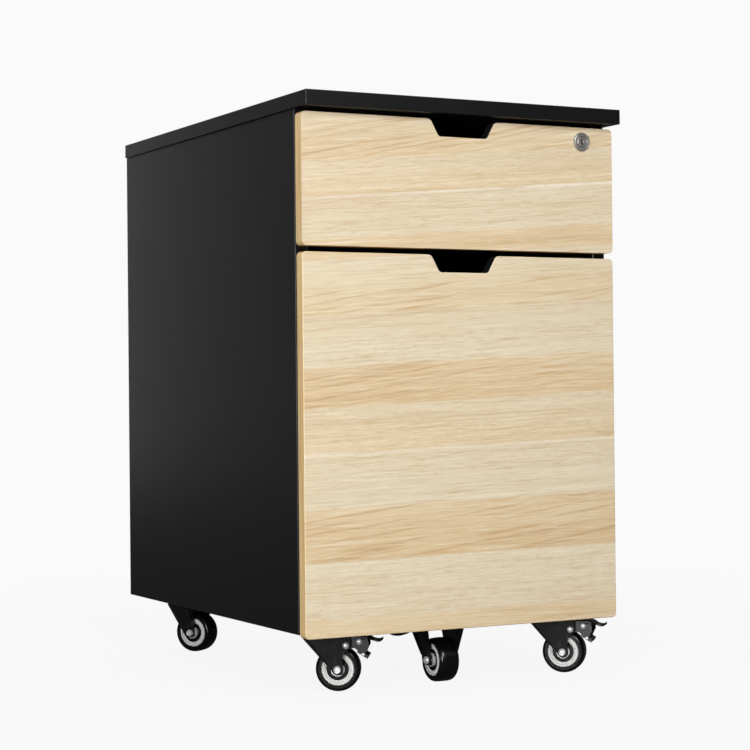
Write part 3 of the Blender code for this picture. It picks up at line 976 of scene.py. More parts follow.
@dataclass(frozen=True)
class Screw:
    """A screw head with a cross recess, drawn with its top at height 0 and facing +Z or along Y."""

    radius: float = 3.4
    height: float = 1.7
    recess: float = 1.9

    def head(self, axis: Axis = Axis.Z, out: float = 1.0) -> Form:
        """Draw the head.

        Args:
            axis: The axis that the head stands on.
            out: Which way along the axis the head points, 1 or -1.

        Returns:
            The head, with its seat at height 0.
        """
        r, h = self.radius, self.height
        dome = [(0, h), (r * 0.45, h * 0.97), (r * 0.78, h * 0.78), (r * 0.96, h * 0.40), (r, 0), (0, 0)]
        head = Form.turned([(a, b * out) for a, b in dome], axis, steps=24)
        slot_half = 0.35
        deep, clear = h * 0.45, h + 1
        low, high = sorted((deep * out, clear * out))
        bars = []
        for a, b in ((self.recess, slot_half), (slot_half, self.recess)):
            bars.append(Form.prism(rectangle((-a, -b), (a, b)), axis, low, high))
        return head.combined(cut=bars)


# ---------------------------------------------------------------- carcass


@dataclass
class Carcass:
    """The black board box: top, sides, back, bottom and the rail between the drawers."""

    half_width: float = 200.0
    back_y: float = 269.0
    back_half: float = 176.0
    screw_heights: tuple[float, ...] = (96.0, 238.0, 380.0, 522.0, 612.0)
    screw_radius: float = 3.6
    screw_head: float = 1.2
    screw_sunk: float = 1.15

    def build(self, nodes: Mapping[str, bpy.types.Object]) -> None:
        """Dress the boards and fix the back.

        Args:
            nodes: Every CAD node by name.
        """
        boards = ("top_panel", "left_side_panel", "right_side_panel")
        dress(nodes, BLACK, *boards, "back_panel", "bottom_panel", "middle_rail")
        self._fix_back()

    def _fix_back(self) -> None:
        """Set two rows of countersunk screws into the back panel, flush with its face."""
        screw = Screw(radius=self.screw_radius, height=self.screw_head).head(Axis.Y, 1.0)
        seat = self.back_y - self.screw_sunk
        spots = [(side.value * self.back_half, seat, z) for z in self.screw_heights for side in Side]
        heads = [screw.moved(*spot) for spot in spots]
        place("back_panel_screws", Form.gathered(heads), BOLT, Seat("cabinet"))


# ---------------------------------------------------------------- drawers


@dataclass
class DrawerFront:
    """One oak front with rounded corners and a finger notch in its top edge."""

    name: str
    body: str
    low: float
    high: float
    hole: tuple[float, float, float] | None = None
    half_width: float = 200.0
    face: float = -254.5
    thick: float = 15.0
    corner: float = 5.0
    ease: float = 1.2
    notch_top_half: float = 41.5
    notch_bottom_half: float = 31.0
    notch_depth: float = 19.3
    notch_top_round: float = 7.0
    notch_bottom_round: float = 5.0

    def build(self) -> None:
        """Build the front in place of its CAD node."""
        half, floor = self.half_width, self.high - self.notch_depth
        outline = fillet(
            [
                (-half, self.low, self.corner),
                (half, self.low, self.corner),
                (half, self.high, self.corner),
                (self.notch_top_half, self.high, self.notch_top_round),
                (self.notch_bottom_half, floor, self.notch_bottom_round),
                (-self.notch_bottom_half, floor, self.notch_bottom_round),
                (-self.notch_top_half, self.high, self.notch_top_round),
                (-half, self.high, self.corner),
            ],
            steps=12,
        )
        back = self.face + self.thick
        form = Form.prism(outline, Axis.Y, self.face, back)
        if self.hole:
            x, z, radius = self.hole
            drill = [(0, self.face - 5), (radius, self.face - 5), (radius, back + 5), (0, back + 5)]
            form = form.combined(cut=[Form.turned(drill, Axis.Y, (x, 0, z))])
        place(self.name, form, OAK, Seat(self.body), ease=self.ease, replaces=[self.name])


@dataclass
class DrawerBox:
    """The grey box behind a front, with the fittings that hold it to the front."""

    level: str
    bottom: float
    top: float
    inner_half: float = 159.3
    front_y: float = -239.2
    bracket_inset: float = 22.0
    bracket_screw_in: float = 9.0

    def build(self, nodes: Mapping[str, bpy.types.Object]) -> None:
        """Dress the box and set its corner brackets.

        Args:
            nodes: Every CAD node by name.
        """
        parts = ("left_side", "right_side", "back", "bottom")
        dress(nodes, BOARD, *(f"{self.level}_drawer_{part}" for part in parts))
        brackets = []
        for side in Side:
            for height in (self.bottom + self.bracket_inset, self.top - self.bracket_inset):
                brackets.append(self._bracket(side, height))
        name = f"{self.level}_drawer_brackets"
        place(name, Form.gathered(brackets), ZINC_SLIDE, Seat(f"{self.level}_drawer"), ease=0.3)

    def _bracket(self, side: Side, height: float) -> Form:
        """One pressed angle with two screws, in the corner between a side and the front.

        Args:
            side: The side that it is fixed to.
            height: Its middle height.

        Returns:
            The bracket with its screws.
        """
        wall, leg, half = 1.2, 16.0, 9.0
        x, y = self.inner_half, self.front_y
        plan = [(x - 0.1, y + 0.1), (x - 0.1, y + leg), (x - wall, y + leg)]
        plan += [(x - wall, y + wall), (x - leg, y + wall), (x - leg, y + 0.1)]
        angle = Form.prism([(side.value * a, b) for a, b in plan], Axis.Z, height - half, height + half)
        screw = Screw(radius=2.6, height=1.3, recess=1.5).head(Axis.Y, 1.0)
        screw_x = side.value * (x - self.bracket_screw_in)
        return Form.gathered([angle, screw.moved(screw_x, y + wall, height)])


@dataclass
class SlidePair:
    """The two three-part ball-bearing slides of one drawer."""

    level: str
    height: float
    inner_face: float = 184.0
    wall: float = 1.2
    outer: tuple[float, float, float, float, float] = (0.3, 9.5, 22.5, -232.0, 208.0)
    middle: tuple[float, float, float, float, float] = (2.6, 11.0, 18.5, -228.0, 196.0)
    inner: tuple[float, float, float, float, float] = (12.4, 5.5, 14.0, -234.0, 206.0)
    ball_radius: float = 1.4
    ball_pitch: float = 11.0
    ball_count: int = 14
    first_ball: float = -220.0
    cage_in: float = 8.2
    cage_up: float = 15.65

    def build(self) -> None:
        """Build both sides: outer, middle and inner members, screws and ball cages."""
        for side in Side:
            carriage, drawer = f"{self.level}_slide_carriage", f"{self.level}_drawer"
            self._member(side, "outer", self.outer, "cabinet", (-196.0, -92.0, 36.0, 164.0))
            self._member(side, "middle", self.middle, carriage, (-190.0, 150.0))
            self._member(side, "inner", self.inner, drawer, (-206.0, -120.0, 20.0, 160.0))
            self._cage(side, carriage)
            self._screws(side, "outer", self.outer[0] + self.wall, (-144.0, 100.0), "cabinet")
            self._screws(side, "inner", self.inner[0] - self.wall - 0.9, (-163.0, 90.0), drawer)

    def _member(
        self,
        side: Side,
        part: str,
        section: tuple[float, float, float, float, float],
        body: str,
        slots: Sequence[float],
    ) -> None:
        """Build one rolled channel with rounded bends and slotted holes.

        Args:
            side: The cabinet side that it runs along.
            part: outer, middle or inner.
            section: Web and lip distances from the cabinet side, half height, and the two ends along Y.
            body: The body that it rides on.
            slots: Where its slots are along Y.
        """
        web, lip, tall, front, back = section
        wall = math.copysign(self.wall, lip - web)
        bend = 1.6
        inside = bend - self.wall if bend > self.wall else 0.3
        corners = [
            (web, -tall, bend),
            (lip, -tall, 0.4),
            (lip, -tall + self.wall, 0.4),
            (web + wall, -tall + self.wall, inside),
            (web + wall, tall - self.wall, inside),
            (lip, tall - self.wall, 0.4),
            (lip, tall, 0.4),
            (web, tall, bend),
        ]
        sign = side.value
        outline = [(sign * (self.inner_face - p.x), self.height + p.y) for p in fillet(corners, 4)]
        channel = Form.prism(outline, Axis.Y, front, back)
        low, high = sorted((sign * (self.inner_face - web + 4), sign * (self.inner_face - web - 4)))
        cuts = []
        for y in slots:
            slot = rectangle((y - 7, self.height - 2.4), (y + 7, self.height + 2.4), 2.3)
            cuts.append(Form.prism(slot, Axis.X, low, high))
        name = f"{self.level}_{side.word}_slide_{part}"
        place(name, channel.combined(cut=cuts), ZINC_SLIDE, Seat(body), replaces=[name])

    def _cage(self, side: Side, body: str) -> None:
        """Set the ball cages above and below the inner member, at the carriage's front.

        Args:
            side: The cabinet side that they run along.
            body: The carriage.
        """
        across = side.value * (self.inner_face - self.cage_in)
        first, count, r = self.first_ball, self.ball_count, self.ball_radius
        arc = [(r * math.sin(math.pi * k / 8), -r * math.cos(math.pi * k / 8)) for k in range(9)]
        ball = Form.turned([(0, -r), *arc[1:-1], (0, r)], Axis.Z, steps=12)
        strips = []
        for sign in (-1, 1):
            z = self.height + sign * self.cage_up
            end = first + count * self.ball_pitch
            strip = rectangle((across - 1.5, first - 4), (across + 1.5, end - 4), 1.0, 3)
            strips.append(Form.prism(strip, Axis.Z, z - 0.35, z + 0.35))
            strips += [ball.moved(across, first + k * self.ball_pitch, z) for k in range(count)]
        name = f"{self.level}_{side.word}_slide_balls"
        place(name, Form.gathered(strips), BOLT, Seat(body))

    def _screws(self, side: Side, part: str, across: float, spots: Sequence[float], body: str) -> None:
        """Fix a member with flat screw heads.

        Args:
            side: The cabinet side.
            part: The member that they hold.
            across: How far the heads' seats are from the cabinet side's inner face.
            spots: Where the heads are along Y.
            body: The body that they ride on.
        """
        r, h = 3.4, 0.9
        sign = side.value
        profile = [(0, 0), (r, 0), (r, h * 0.4), (r * 0.7, h), (1.4, h), (1.2, h * 0.4), (0, h * 0.4)]
        disc = Form.turned(profile, Axis.Z, steps=24)
        disc.mesh.transform(Matrix.Rotation(-sign * math.pi / 2, 4, "Y"))
        heads = [disc.moved(sign * (self.inner_face - across), y, self.height) for y in spots]
        place(f"{self.level}_{side.word}_slide_{part}_screws", Form.gathered(heads), BOLT, Seat(body))


@dataclass
class CamLock:
    """The cam lock in the upper front: flanged housing, plug with keyway and cam, and its nut."""

    x: float = 157.7
    z: float = 616.0
    face: float = -257.1
    front_back: float = -239.5
    flange_radius: float = 10.8
    body_radius: float = 9.2
    bore: float = 6.4
    plug_radius: float = 6.0
    barrel_end: float = -233.4
    cam_front: float = -232.6
    cam_back: float = -230.6
    cam_reach: float = 22.5
    cam_tip: float = 4.0
    cam_hub: float = 7.0

    def build(self) -> None:
        """Build the housing, the plug with its cam, and the nut."""
        at = (self.x, 0.0, self.z)
        drawer = Seat("upper_drawer", at)
        place("lock_housing", self._housing(), NICKEL, drawer, replaces=["lock_housing"])
        place("lock_plug", self._plug(), NICKEL, Seat("lock_barrel", at), ease=0.2, replaces=["lock_plug"])
        place("lock_nut", self._nut(), BOLT, drawer, ease=0.4)

    def _housing(self) -> Form:
        """The flange with two turned grooves and a dished face, and the body behind it.

        Returns:
            The housing.
        """
        face, flange = self.face, self.flange_radius
        seat = self.face + 2.3
        profile = [
            (self.bore, face + 1.0),
            (self.bore + 0.5, face + 0.4),
            (self.bore + 1.0, face + 0.5),
            (self.bore + 1.3, face),
            (flange - 2.2, face),
            (flange - 2.0, face + 0.35),
            (flange - 1.6, face + 0.35),
            (flange - 1.3, face + 0.15),
            (flange - 0.5, face + 0.5),
            (flange, face + 1.3),
            (flange, seat),
            (self.body_radius, seat),
            (self.body_radius, self.barrel_end),
            (self.bore, self.barrel_end),
        ]
        return Form.turned(profile, Axis.Y, steps=64)

    def _plug(self) -> Form:
        """The plug with a ringed face and a keyway, and the cam on its inner end.

        Returns:
            The plug.
        """
        front = self.face + 0.4
        r = self.plug_radius
        profile = [(0, front + 0.3), (1.6, front + 0.3), (2.0, front), (r - 0.8, front), (r, front + 0.6)]
        profile += [(r, self.cam_back), (0, self.cam_back)]
        keyway = Form.block((-0.9, front - 2, -4.2), (0.9, front + 6, 4.2))
        bit = Form.block((-0.4, front - 2, -4.2), (2.0, front + 6, -2.0))
        cam = Form.prism(self._cam_outline(), Axis.Y, self.cam_front, self.cam_back)
        return Form.turned(profile, Axis.Y, steps=64).combined(add=[cam], cut=[keyway, bit])

    def _cam_outline(self) -> list[Point]:
        """The cam: a round hub, a narrower round tip towards -X and the straights between.

        Returns:
            The outline in XZ.
        """
        lean = math.asin((self.cam_hub - self.cam_tip) / self.cam_reach)
        quarter = math.pi / 2
        outline = []
        for centre, radius, first, last in (
            (0.0, self.cam_hub, -quarter - lean, quarter + lean),
            (-self.cam_reach, self.cam_tip, quarter + lean, 3 * quarter - lean),
        ):
            for k in range(25):
                angle = first + (last - first) * k / 24
                outline.append((centre + radius * math.cos(angle), radius * math.sin(angle)))
        return outline

    def _nut(self) -> Form:
        """The hexagon nut that pulls the housing against the front's back face.

        Returns:
            The nut.
        """
        radius, thick = 12.6, 3.2
        corners = [math.radians(60 * k + 30) for k in range(6)]
        outline = [(radius * math.cos(a), radius * math.sin(a)) for a in corners]
        low, high = self.front_back + 0.2, self.front_back + 0.2 + thick
        clear = self.body_radius + 0.1
        bore = [(0, low - 1), (clear, low - 1), (clear, high + 1), (0, high + 1)]
        return Form.prism(outline, Axis.Y, low, high).combined(cut=[Form.turned(bore, Axis.Y)])


# ---------------------------------------------------------------- casters


class CasterKind(Enum):
    """Whether a caster carries a brake."""

    PLAIN = "plain"
    BRAKED = "braked"


@dataclass
class CasterPlate:
    """Fixing plate, raceway cup and kingpin, with four screws into the board above."""

    side: float = 42.0
    corner: float = 5.0
    top: float = 69.7
    thick: float = 2.5
    hole_at: float = 15.8
    cup: float = 15.0
    pin: float = 4.0
    pin_head: float = 7.0

    def build(self, name: str, seat: Seat) -> None:
        """Build the plate in place of its CAD node, and its screws.

        Args:
            name: The caster's name, such as front_left.
            seat: The swivel axis, on the body that the plate is fixed to.
        """
        half, under = self.side / 2, self.top - self.thick
        outline = rectangle((-half, -half), (half, half), self.corner)
        plate = Form.prism(outline, Axis.Z, under, self.top)
        cup = Form.turned(self._cup_profile(under), Axis.Z)
        node = f"{name}_caster_plate"
        place(node, Form.gathered([plate, cup]), COAT, seat, replaces=[node])
        screw = Screw(radius=3.6, height=1.8).head(Axis.Z, -1.0)
        spots = [(a * self.hole_at, b * self.hole_at) for a in (-1, 1) for b in (-1, 1)]
        heads = [screw.moved(a, b, under) for a, b in spots]
        place(f"{name}_plate_screws", Form.gathered(heads), BOLT, seat)

    def _cup_profile(self, under: float) -> list[Point]:
        """The pressed cup, its ball groove and the kingpin with its riveted head.

        Args:
            under: The height of the plate's underside.

        Returns:
            The profile, from the axis round to the axis.
        """
        lip = under - 2.8
        return [
            (0, under + 0.5),
            (self.cup, under + 0.5),
            (self.cup - 0.1, under - 0.6),
            (self.cup - 0.7, under - 1.9),
            (self.cup - 1.8, lip),
            (self.cup - 3.6, lip),
            (self.cup - 4.6, lip + 0.8),
            (self.cup - 5.6, lip),
            (self.pin, lip),
            (self.pin, 59.4),
            (self.pin_head, 59.4),
            (self.pin_head, 58.7),
            (self.pin_head - 1.0, 57.9),
            (3.0, 57.6),
            (0, 57.6),
        ]


@dataclass
class Wheel:
    """Tyre, core, dust dishes and bearing rings, about the axle along Y."""

    radius: float = 25.0
    width: float = 24.0
    core_radius: float = 18.0
    core_half: float = 11.5
    hub: float = 7.8
    hub_half: float = 13.2
    bore: float = 3.2
    dish: float = 12.4
    dish_half: float = 9.0

    def build(self, name: str, seat: Seat) -> None:
        """Build the wheel in place of its two CAD nodes.

        Args:
            name: The caster's name.
            seat: The axle's middle, on the wheel's body.
        """
        tyre, core = f"{name}_tyre", f"{name}_wheel_core"
        place(tyre, self._tyre(), TYRE, seat, replaces=[tyre])
        place(core, self._core(), CORE, seat, replaces=[core])
        place(f"{name}_wheel_dishes", self._dishes(), TYRE, seat)
        place(f"{name}_bearing_rings", self._rings(), BOLT, seat)

    def _tyre(self) -> Form:
        """The tyre: a groove in each side face, round shoulders and a lightly crowned tread.

        Returns:
            The tyre.
        """
        half, r, bore = self.width / 2, self.radius, self.core_radius + 0.3
        side = [
            (bore, half - 0.3),
            (bore + 0.4, half),
            (r - 4.4, half),
            (r - 4.0, half - 0.7),
            (r - 3.3, half - 0.7),
            (r - 2.9, half - 0.2),
            (r - 2.0, half - 0.6),
            (r - 1.0, half - 1.7),
            (r - 0.4, half - 3.4),
            (r - 0.1, half - 6.5),
        ]
        profile = side + [(r, 0.0)] + [(a, -b) for a, b in reversed(side)]
        return Form.turned(profile, Axis.Y, steps=72)

    def _core(self) -> Form:
        """The core: a ribbed rim ring on each face round a recessed hub.

        Returns:
            The core.
        """
        rim, half = self.core_radius, self.core_half
        face = [
            (self.bore, self.hub_half),
            (self.hub - 0.4, self.hub_half),
            (self.hub, self.hub_half - 0.4),
            (self.hub, self.dish_half),
            (self.dish, self.dish_half),
            (self.dish, half - 0.9),
            (self.dish + 0.5, half - 0.2),
            (self.dish + 1.8, half),
            (self.dish + 2.1, half - 1.0),
            (self.dish + 2.9, half - 1.0),
            (self.dish + 3.2, half),
            (rim - 0.6, half),
            (rim, half - 0.5),
        ]
        return Form.turned(face + [(r, -h) for r, h in reversed(face)], Axis.Y, steps=64)

    def _dishes(self) -> Form:
        """The stepped black dust dishes that lie in the recess of each face.

        Returns:
            Both dishes.
        """
        dishes = []
        for sign in (-1, 1):
            h = self.dish_half
            section = [
                (self.hub + 0.1, h + 0.1),
                (self.hub + 0.1, h + 1.2),
                (self.hub + 1.1, h + 1.2),
                (self.hub + 1.4, h + 0.5),
                (self.dish - 1.5, h + 0.5),
                (self.dish - 1.2, h + 1.6),
                (self.dish - 0.1, h + 1.6),
                (self.dish - 0.1, h + 0.1),
            ]
            dishes.append(Form.turned([(r, sign * b) for r, b in section], Axis.Y, steps=64))
        return Form.gathered(dishes)

    def _rings(self) -> Form:
        """The bright bearing race that shows round each end of the hub.

        Returns:
            Both rings.
        """
        rings = []
        for sign in (-1, 1):
            h = self.hub_half
            section = [
                (self.bore + 0.2, h),
                (self.hub - 1.2, h),
                (self.hub - 0.8, h + 0.35),
                (self.hub - 0.2, h + 0.35),
                (self.hub - 0.1, h - 0.5),
                (self.bore + 0.2, h - 0.5),
            ]
            rings.append(Form.turned([(r, sign * b) for r, b in section], Axis.Y, steps=48))
        return Form.gathered(rings)


@dataclass
class Pedal:
    """The brake pedal about its pivot: cheeks, a serrated shoe and a wavy tread with a round tip."""

    pivot: Point = (29.0, 52.0)
    inner: float = 13.2
    outer: float = 15.2
    tip: float = 69.0
    tread_half: float = 8.5
    tread_round: float = 6.0
    second_rivet: Point = (43.6, 55.8)
    rivet_radius: float = 3.9
    shoe_start: Point = (40.2, 43.9)
    shoe_end: Point = (52.2, 36.4)
    shoe_thick: float = 4.0
    shoe_teeth: int = 4
    shoe_bite: float = 1.0
    shoe_screw: Point = (47.6, 41.6)
    cheek: tuple[Corner, ...] = (
        (24.3, 46.8, 4.8),
        (38.0, 48.8, 1.0),
        (43.2, 44.8, 0.5),
        (49.4, 41.2, 1.0),
        (54.0, 50.6, 2.0),
        (53.0, 58.5, 2.0),
        (27.0, 59.6, 4.0),
    )
    wave: tuple[Point, ...] = (
        (29, 60),
        (47, 60.4),
        (53, 59.4),
        (58, 57.4),
        (63, 56.2),
        (66.5, 56.8),
        (69.5, 59),
    )
    thin: float = 0.9
    lip: float = 0.8
    lip_from: float = 57.0

    def build(self, name: str, fork: Seat, pedal_body: str, fork_outer: float) -> None:
        """Build the pedal in place of its CAD node, and its rivets and shoe screw.

        Args:
            name: The caster's name.
            fork: The swivel axis, on the fork's body.
            pedal_body: The pedal's body.
            fork_outer: How far the fork's cheeks reach from the middle.
        """
        u, z = self.pivot
        node = f"{name}_brake_pedal"
        at_pivot = fork.moved((u, 0, z), pedal_body)
        pedal = self._pedal().spun(fork.turn_deg)
        place(node, pedal, COAT, replace(at_pivot, turn_deg=0.0), ease=0.35, replaces=[node])
        pair = Form.gathered([self._rivet(fork_outer, -1), self._rivet(fork_outer, 1)])
        place(f"{name}_pivot_rivet", pair, BOLT, fork.moved((u, 0, z)))
        a, b = self.second_rivet
        pair = Form.gathered([self._rivet(self.outer, -1), self._rivet(self.outer, 1)])
        place(f"{name}_link_rivet", pair, BOLT, fork.moved((a, 0, b), pedal_body))
        place(f"{name}_shoe_screw", self._shoe_screws(), BOLT, at_pivot)

    def _rivet(self, seat: float, sign: int) -> Form:
        """A domed rivet head.

        Args:
            seat: How far from the middle its seat is.
            sign: Which side it is on.

        Returns:
            The head.
        """
        r, rise = self.rivet_radius, 2.3
        dome = [(r * math.cos(math.pi / 2 * k / 8), rise * math.sin(math.pi / 2 * k / 8)) for k in range(8)]
        profile = [(0, -0.6), (r * 0.9, -0.6), *dome, (0, rise)]
        return Form.turned([(a, sign * (seat + b)) for a, b in profile], Axis.Y, steps=32)

    def _pedal(self) -> Form:
        """Join the cheeks, the shoe and the tread.

        Returns:
            The pedal about its pivot.
        """
        u0, z0 = self.pivot
        outline = fillet([(a - u0, b - z0, r) for a, b, r in self.cheek], steps=8)
        cheeks = [Form.prism(outline, Axis.Y, *sorted((s * self.inner, s * self.outer))) for s in (-1, 1)]
        path = self._smooth(self.wave)
        swelling = path[-1][0] - self.lip_from
        swell = [self.thin + self.lip * max(0.0, (a - self.lip_from) / swelling) for a, _ in path]
        skin = [(a - u0, b - z0 + self.thin) for a, b in path]
        skin += [(a - u0, b - z0 - half) for (a, b), half in reversed(list(zip(path, swell)))]
        tread = Form.prism(skin, Axis.Y, -self.outer, self.outer)
        plan = [
            (26.0, -self.outer + 0.1, 0),
            (54.0, -self.outer + 0.1, 3.0),
            (58.0, -self.tread_half, 3.0),
            (self.tip, -self.tread_half, self.tread_round),
            (self.tip, self.tread_half, self.tread_round),
            (58.0, self.tread_half, 3.0),
            (54.0, self.outer - 0.1, 3.0),
            (26.0, self.outer - 0.1, 0),
        ]
        trim = Form.prism(fillet([(a - u0, b, r) for a, b, r in plan], 8), Axis.Z, -5, 20)
        shoe = Form.prism(self._shoe_outline(), Axis.Y, -self.outer + 0.2, self.outer - 0.2)
        return tread.combined(within=[trim], add=[*cheeks, shoe])

    @staticmethod
    def _smooth(points: Sequence[Point], steps: int = 4) -> list[Point]:
        """Run a smooth curve through points.

        Args:
            points: The points to pass through.
            steps: How many pieces lie between two of them.

        Returns:
            The curve's points.
        """
        ends = [points[0], *points, points[-1]]
        curve = []
        for before, here, after, beyond in zip(ends, ends[1:], ends[2:], ends[3:]):
            for k in range(steps):
                t = k / steps
                curve.append(
                    tuple(
                        0.5
                        * (
                            2 * b
                            + (c - a) * t
                            + (2 * a - 5 * b + 4 * c - d) * t * t
                            + (3 * b - a - 3 * c + d) * t**3
                        )
                        for a, b, c, d in zip(before, here, after, beyond)
                    )
                )
        return [*curve, points[-1]]

    def _shoe_outline(self) -> list[Vector]:
        """The shoe's side view: a slanted bar with teeth towards the tyre.

        Returns:
            The outline about the pivot.
        """
        start, end, thick = Vector(self.shoe_start), Vector(self.shoe_end), self.shoe_thick
        along = (end - start) / self.shoe_teeth
        inward = Vector((along.y, -along.x)).normalized()
        outline = []
        for k in range(self.shoe_teeth):
            outline.append(start + along * k)
            outline.append(start + along * (k + 0.5) - inward * self.shoe_bite)
        outline += [end, end - inward * thick, start - inward * thick]
        return [point - Vector(self.pivot) for point in outline]

    def _shoe_screws(self) -> Form:
        """The small adjusting screw on each side of the shoe.

        Returns:
            Both heads about the pivot.
        """
        at = Vector(self.shoe_screw) - Vector(self.pivot)
        heads = []
        for sign in (-1, 1):
            head = Screw(radius=2.0, height=0.9, recess=1.2).head(Axis.Y, sign)
            heads.append(head.moved(at.x, sign * (self.outer - 0.25), at.y))
        return Form.gathered(heads)


@dataclass
class Caster:
    """One swivel caster: plate, pressed fork, wheel, axle bolt, and a pedal where it is braked."""

    name: str
    x: float
    y: float
    turn_deg: float
    kind: CasterKind = CasterKind.PLAIN
    plate_body: str = "cabinet"
    trail: float = 19.0
    crown: float = 18.2
    crown_bottom: float = 60.5
    crown_top: float = 63.6
    cheek_inner: float = 14.6
    cheek_outer: float = 16.6
    cheek_top: float = 62.0
    lean: float = 0.1
    toe: float = 19.0
    plain_cheek: tuple[float, float, float, float] = (-11.6, 60.5, 24.0, 0.56)
    braked_cheek: tuple[float, float, float, float] = (-18.2, 59.2, 25.3, 0.87)
    toe_round: float = 4.0
    back_flare: float = 3.0
    neck_flare: float = 9.5
    flare_thick: float = 1.8
    axle_bore: float = 3.25
    axle_seat: float = 17.4
    bolt_head: float = 4.4

    def build(self) -> None:
        """Build the caster in place of its CAD nodes."""
        at = (self.x, self.y, 0.0)
        wheel = Wheel()
        pedal = Pedal()
        CasterPlate().build(self.name, Seat(self.plate_body, at))
        fork = Seat(f"{self.name}_fork", at, self.turn_deg)
        node = f"{self.name}_caster_fork"
        place(node, self._fork(pedal.pivot, wheel.radius), COAT, fork, ease=0.45, replaces=[node])
        axle = (self.trail, 0.0, wheel.radius)
        node = f"{self.name}_caster_axle"
        place(node, self._axle(), BOLT, fork.moved(axle), replaces=[node])
        wheel.build(self.name, fork.moved(axle, f"{self.name}_wheel"))
        if self.kind is CasterKind.BRAKED:
            seat = self.cheek_outer + self.lean * (pedal.pivot[1] - wheel.radius)
            pedal.build(self.name, fork, f"{self.name}_pedal", seat)

    def _fork(self, pivot: Point, axle_height: float) -> Form:
        """The pressed fork: crown, leaning cheeks, flared edges, axle bores and a lug for a brake.

        Args:
            pivot: The brake's pivot, as distance along the trail and height.
            axle_height: The height of the axle above the floor.

        Returns:
            The fork about the swivel axis.
        """
        braked = self.kind is CasterKind.BRAKED
        back, start, neck, slope = self.braked_cheek if braked else self.plain_cheek
        toe = back + slope * (start - self.toe)
        corners = [(back, self.cheek_top, 0), (back, start, 0)]
        corners += [(u, self.toe, self.toe_round) for u in (toe, neck)]
        if braked:
            under, lug = pivot[1] - 5.4, pivot[0] + 5.2
            corners += [(neck, under, 8.0), (lug, under, 5.0), (lug, self.cheek_top, 3.0)]
        else:
            corners += [(neck, self.cheek_top, 0)]
        outline = fillet(corners)
        high, low = self.cheek_top - 0.5, 30.0
        edges = [((back + 0.6, high), (back + slope * (start - low) + 0.6, low), self.back_flare, 1.0)]
        if not braked:
            edges.append(((neck - 2.2, high), (neck - 2.2, low + 0.5), self.neck_flare, 3.0))
        parts = []
        for sign in (-1, 1):
            near, far = sorted((sign * self.cheek_inner, sign * self.cheek_outer))
            pressed = [Form.prism(outline, Axis.Y, near, far)]
            pressed += [self._flare(sign, *edge) for edge in edges]
            parts += [form.leaned(sign * self.lean, axle_height) for form in pressed]
        side, bottom = self.cheek_outer + 2.9, self.crown_bottom
        plan = rectangle((6 - self.crown, -side), (neck - 0.5, side), 3.0)
        deck = Form.prism(plan, Axis.Z, bottom + 0.3, bottom + 1.9)
        rim = self.crown - 0.3
        top = self.crown_top
        dome = [(0, bottom + 0.6), (rim, bottom + 0.6), (rim, top - 0.9), (rim - 0.9, top), (0, top)]
        crown = Form.turned(dome, Axis.Z)
        bore = [(0, -30), (self.axle_bore, -30), (self.axle_bore, 30), (0, 30)]
        cuts = [
            Form.turned([(0, 50), (4.6, 50), (4.6, 70), (0, 70)], Axis.Z, steps=24),
            Form.turned(bore, Axis.Y, (self.trail, 0, axle_height), steps=24),
        ]
        return crown.combined(add=[deck, *parts], cut=cuts)

    def _flare(self, sign: int, top: Point, bottom: Point, out: float, end: float) -> Form:
        """A stiffening edge on a cheek, wide at the crown and narrow near the axle.

        Args:
            sign: Which cheek.
            top: Its upper end, as distance along the trail and height.
            bottom: Its lower end.
            out: How far it stands out at its upper end.
            end: How far it stands out at its lower end.

        Returns:
            The edge.
        """
        thick, root = self.flare_thick, self.cheek_outer - 1.0
        points = []
        for (u, z), reach in ((top, self.cheek_outer + out), (bottom, self.cheek_outer + end)):
            for shift in (0.0, thick):
                for across in (root, reach):
                    points.append((u + shift, sign * across, z))
        return Form.hull(points)

    def _axle(self) -> Form:
        """The axle bolt: a ringed round head, the shank and a nut with a domed end.

        Returns:
            The bolt about its middle.
        """
        seat, r = self.axle_seat, self.bolt_head
        profile = [
            (0, -seat - 2.9),
            (1.3, -seat - 2.9),
            (1.6, -seat - 1.8),
            (2.4, -seat - 1.8),
            (2.7, -seat - 2.7),
            (3.4, -seat - 2.9),
            (3.9, -seat - 2.6),
            (r - 0.1, -seat - 1.9),
            (r, -seat - 1.2),
            (r, -seat),
            (2.9, -seat),
            (2.9, seat),
            (r, seat),
            (r, seat + 2.2),
            (r - 1.1, seat + 3.2),
            (2.4, seat + 3.4),
            (0, seat + 3.4),
        ]
        return Form.turned(profile, Axis.Y, steps=48)


# ---------------------------------------------------------------- studio


@dataclass
class SoftBox:
    """One rectangular studio light. Sizes are in metres."""

    name: str
    at: Place
    aim: Place
    size: Point
    watts: float

    def build(self) -> None:
        """Hang the light, point it and keep it out of sight."""
        data = bpy.data.lights.new(self.name, "AREA")
        data.shape = "RECTANGLE"
        data.size, data.size_y = self.size
        data.energy = self.watts
        light = bpy.data.objects.new(self.name, data)
        bpy.context.scene.collection.objects.link(light)
        light.location = self.at
        direction = Vector(self.aim) - Vector(self.at)
        light.rotation_euler = direction.to_track_quat("-Z", "Y").to_euler()
        light.visible_camera = False


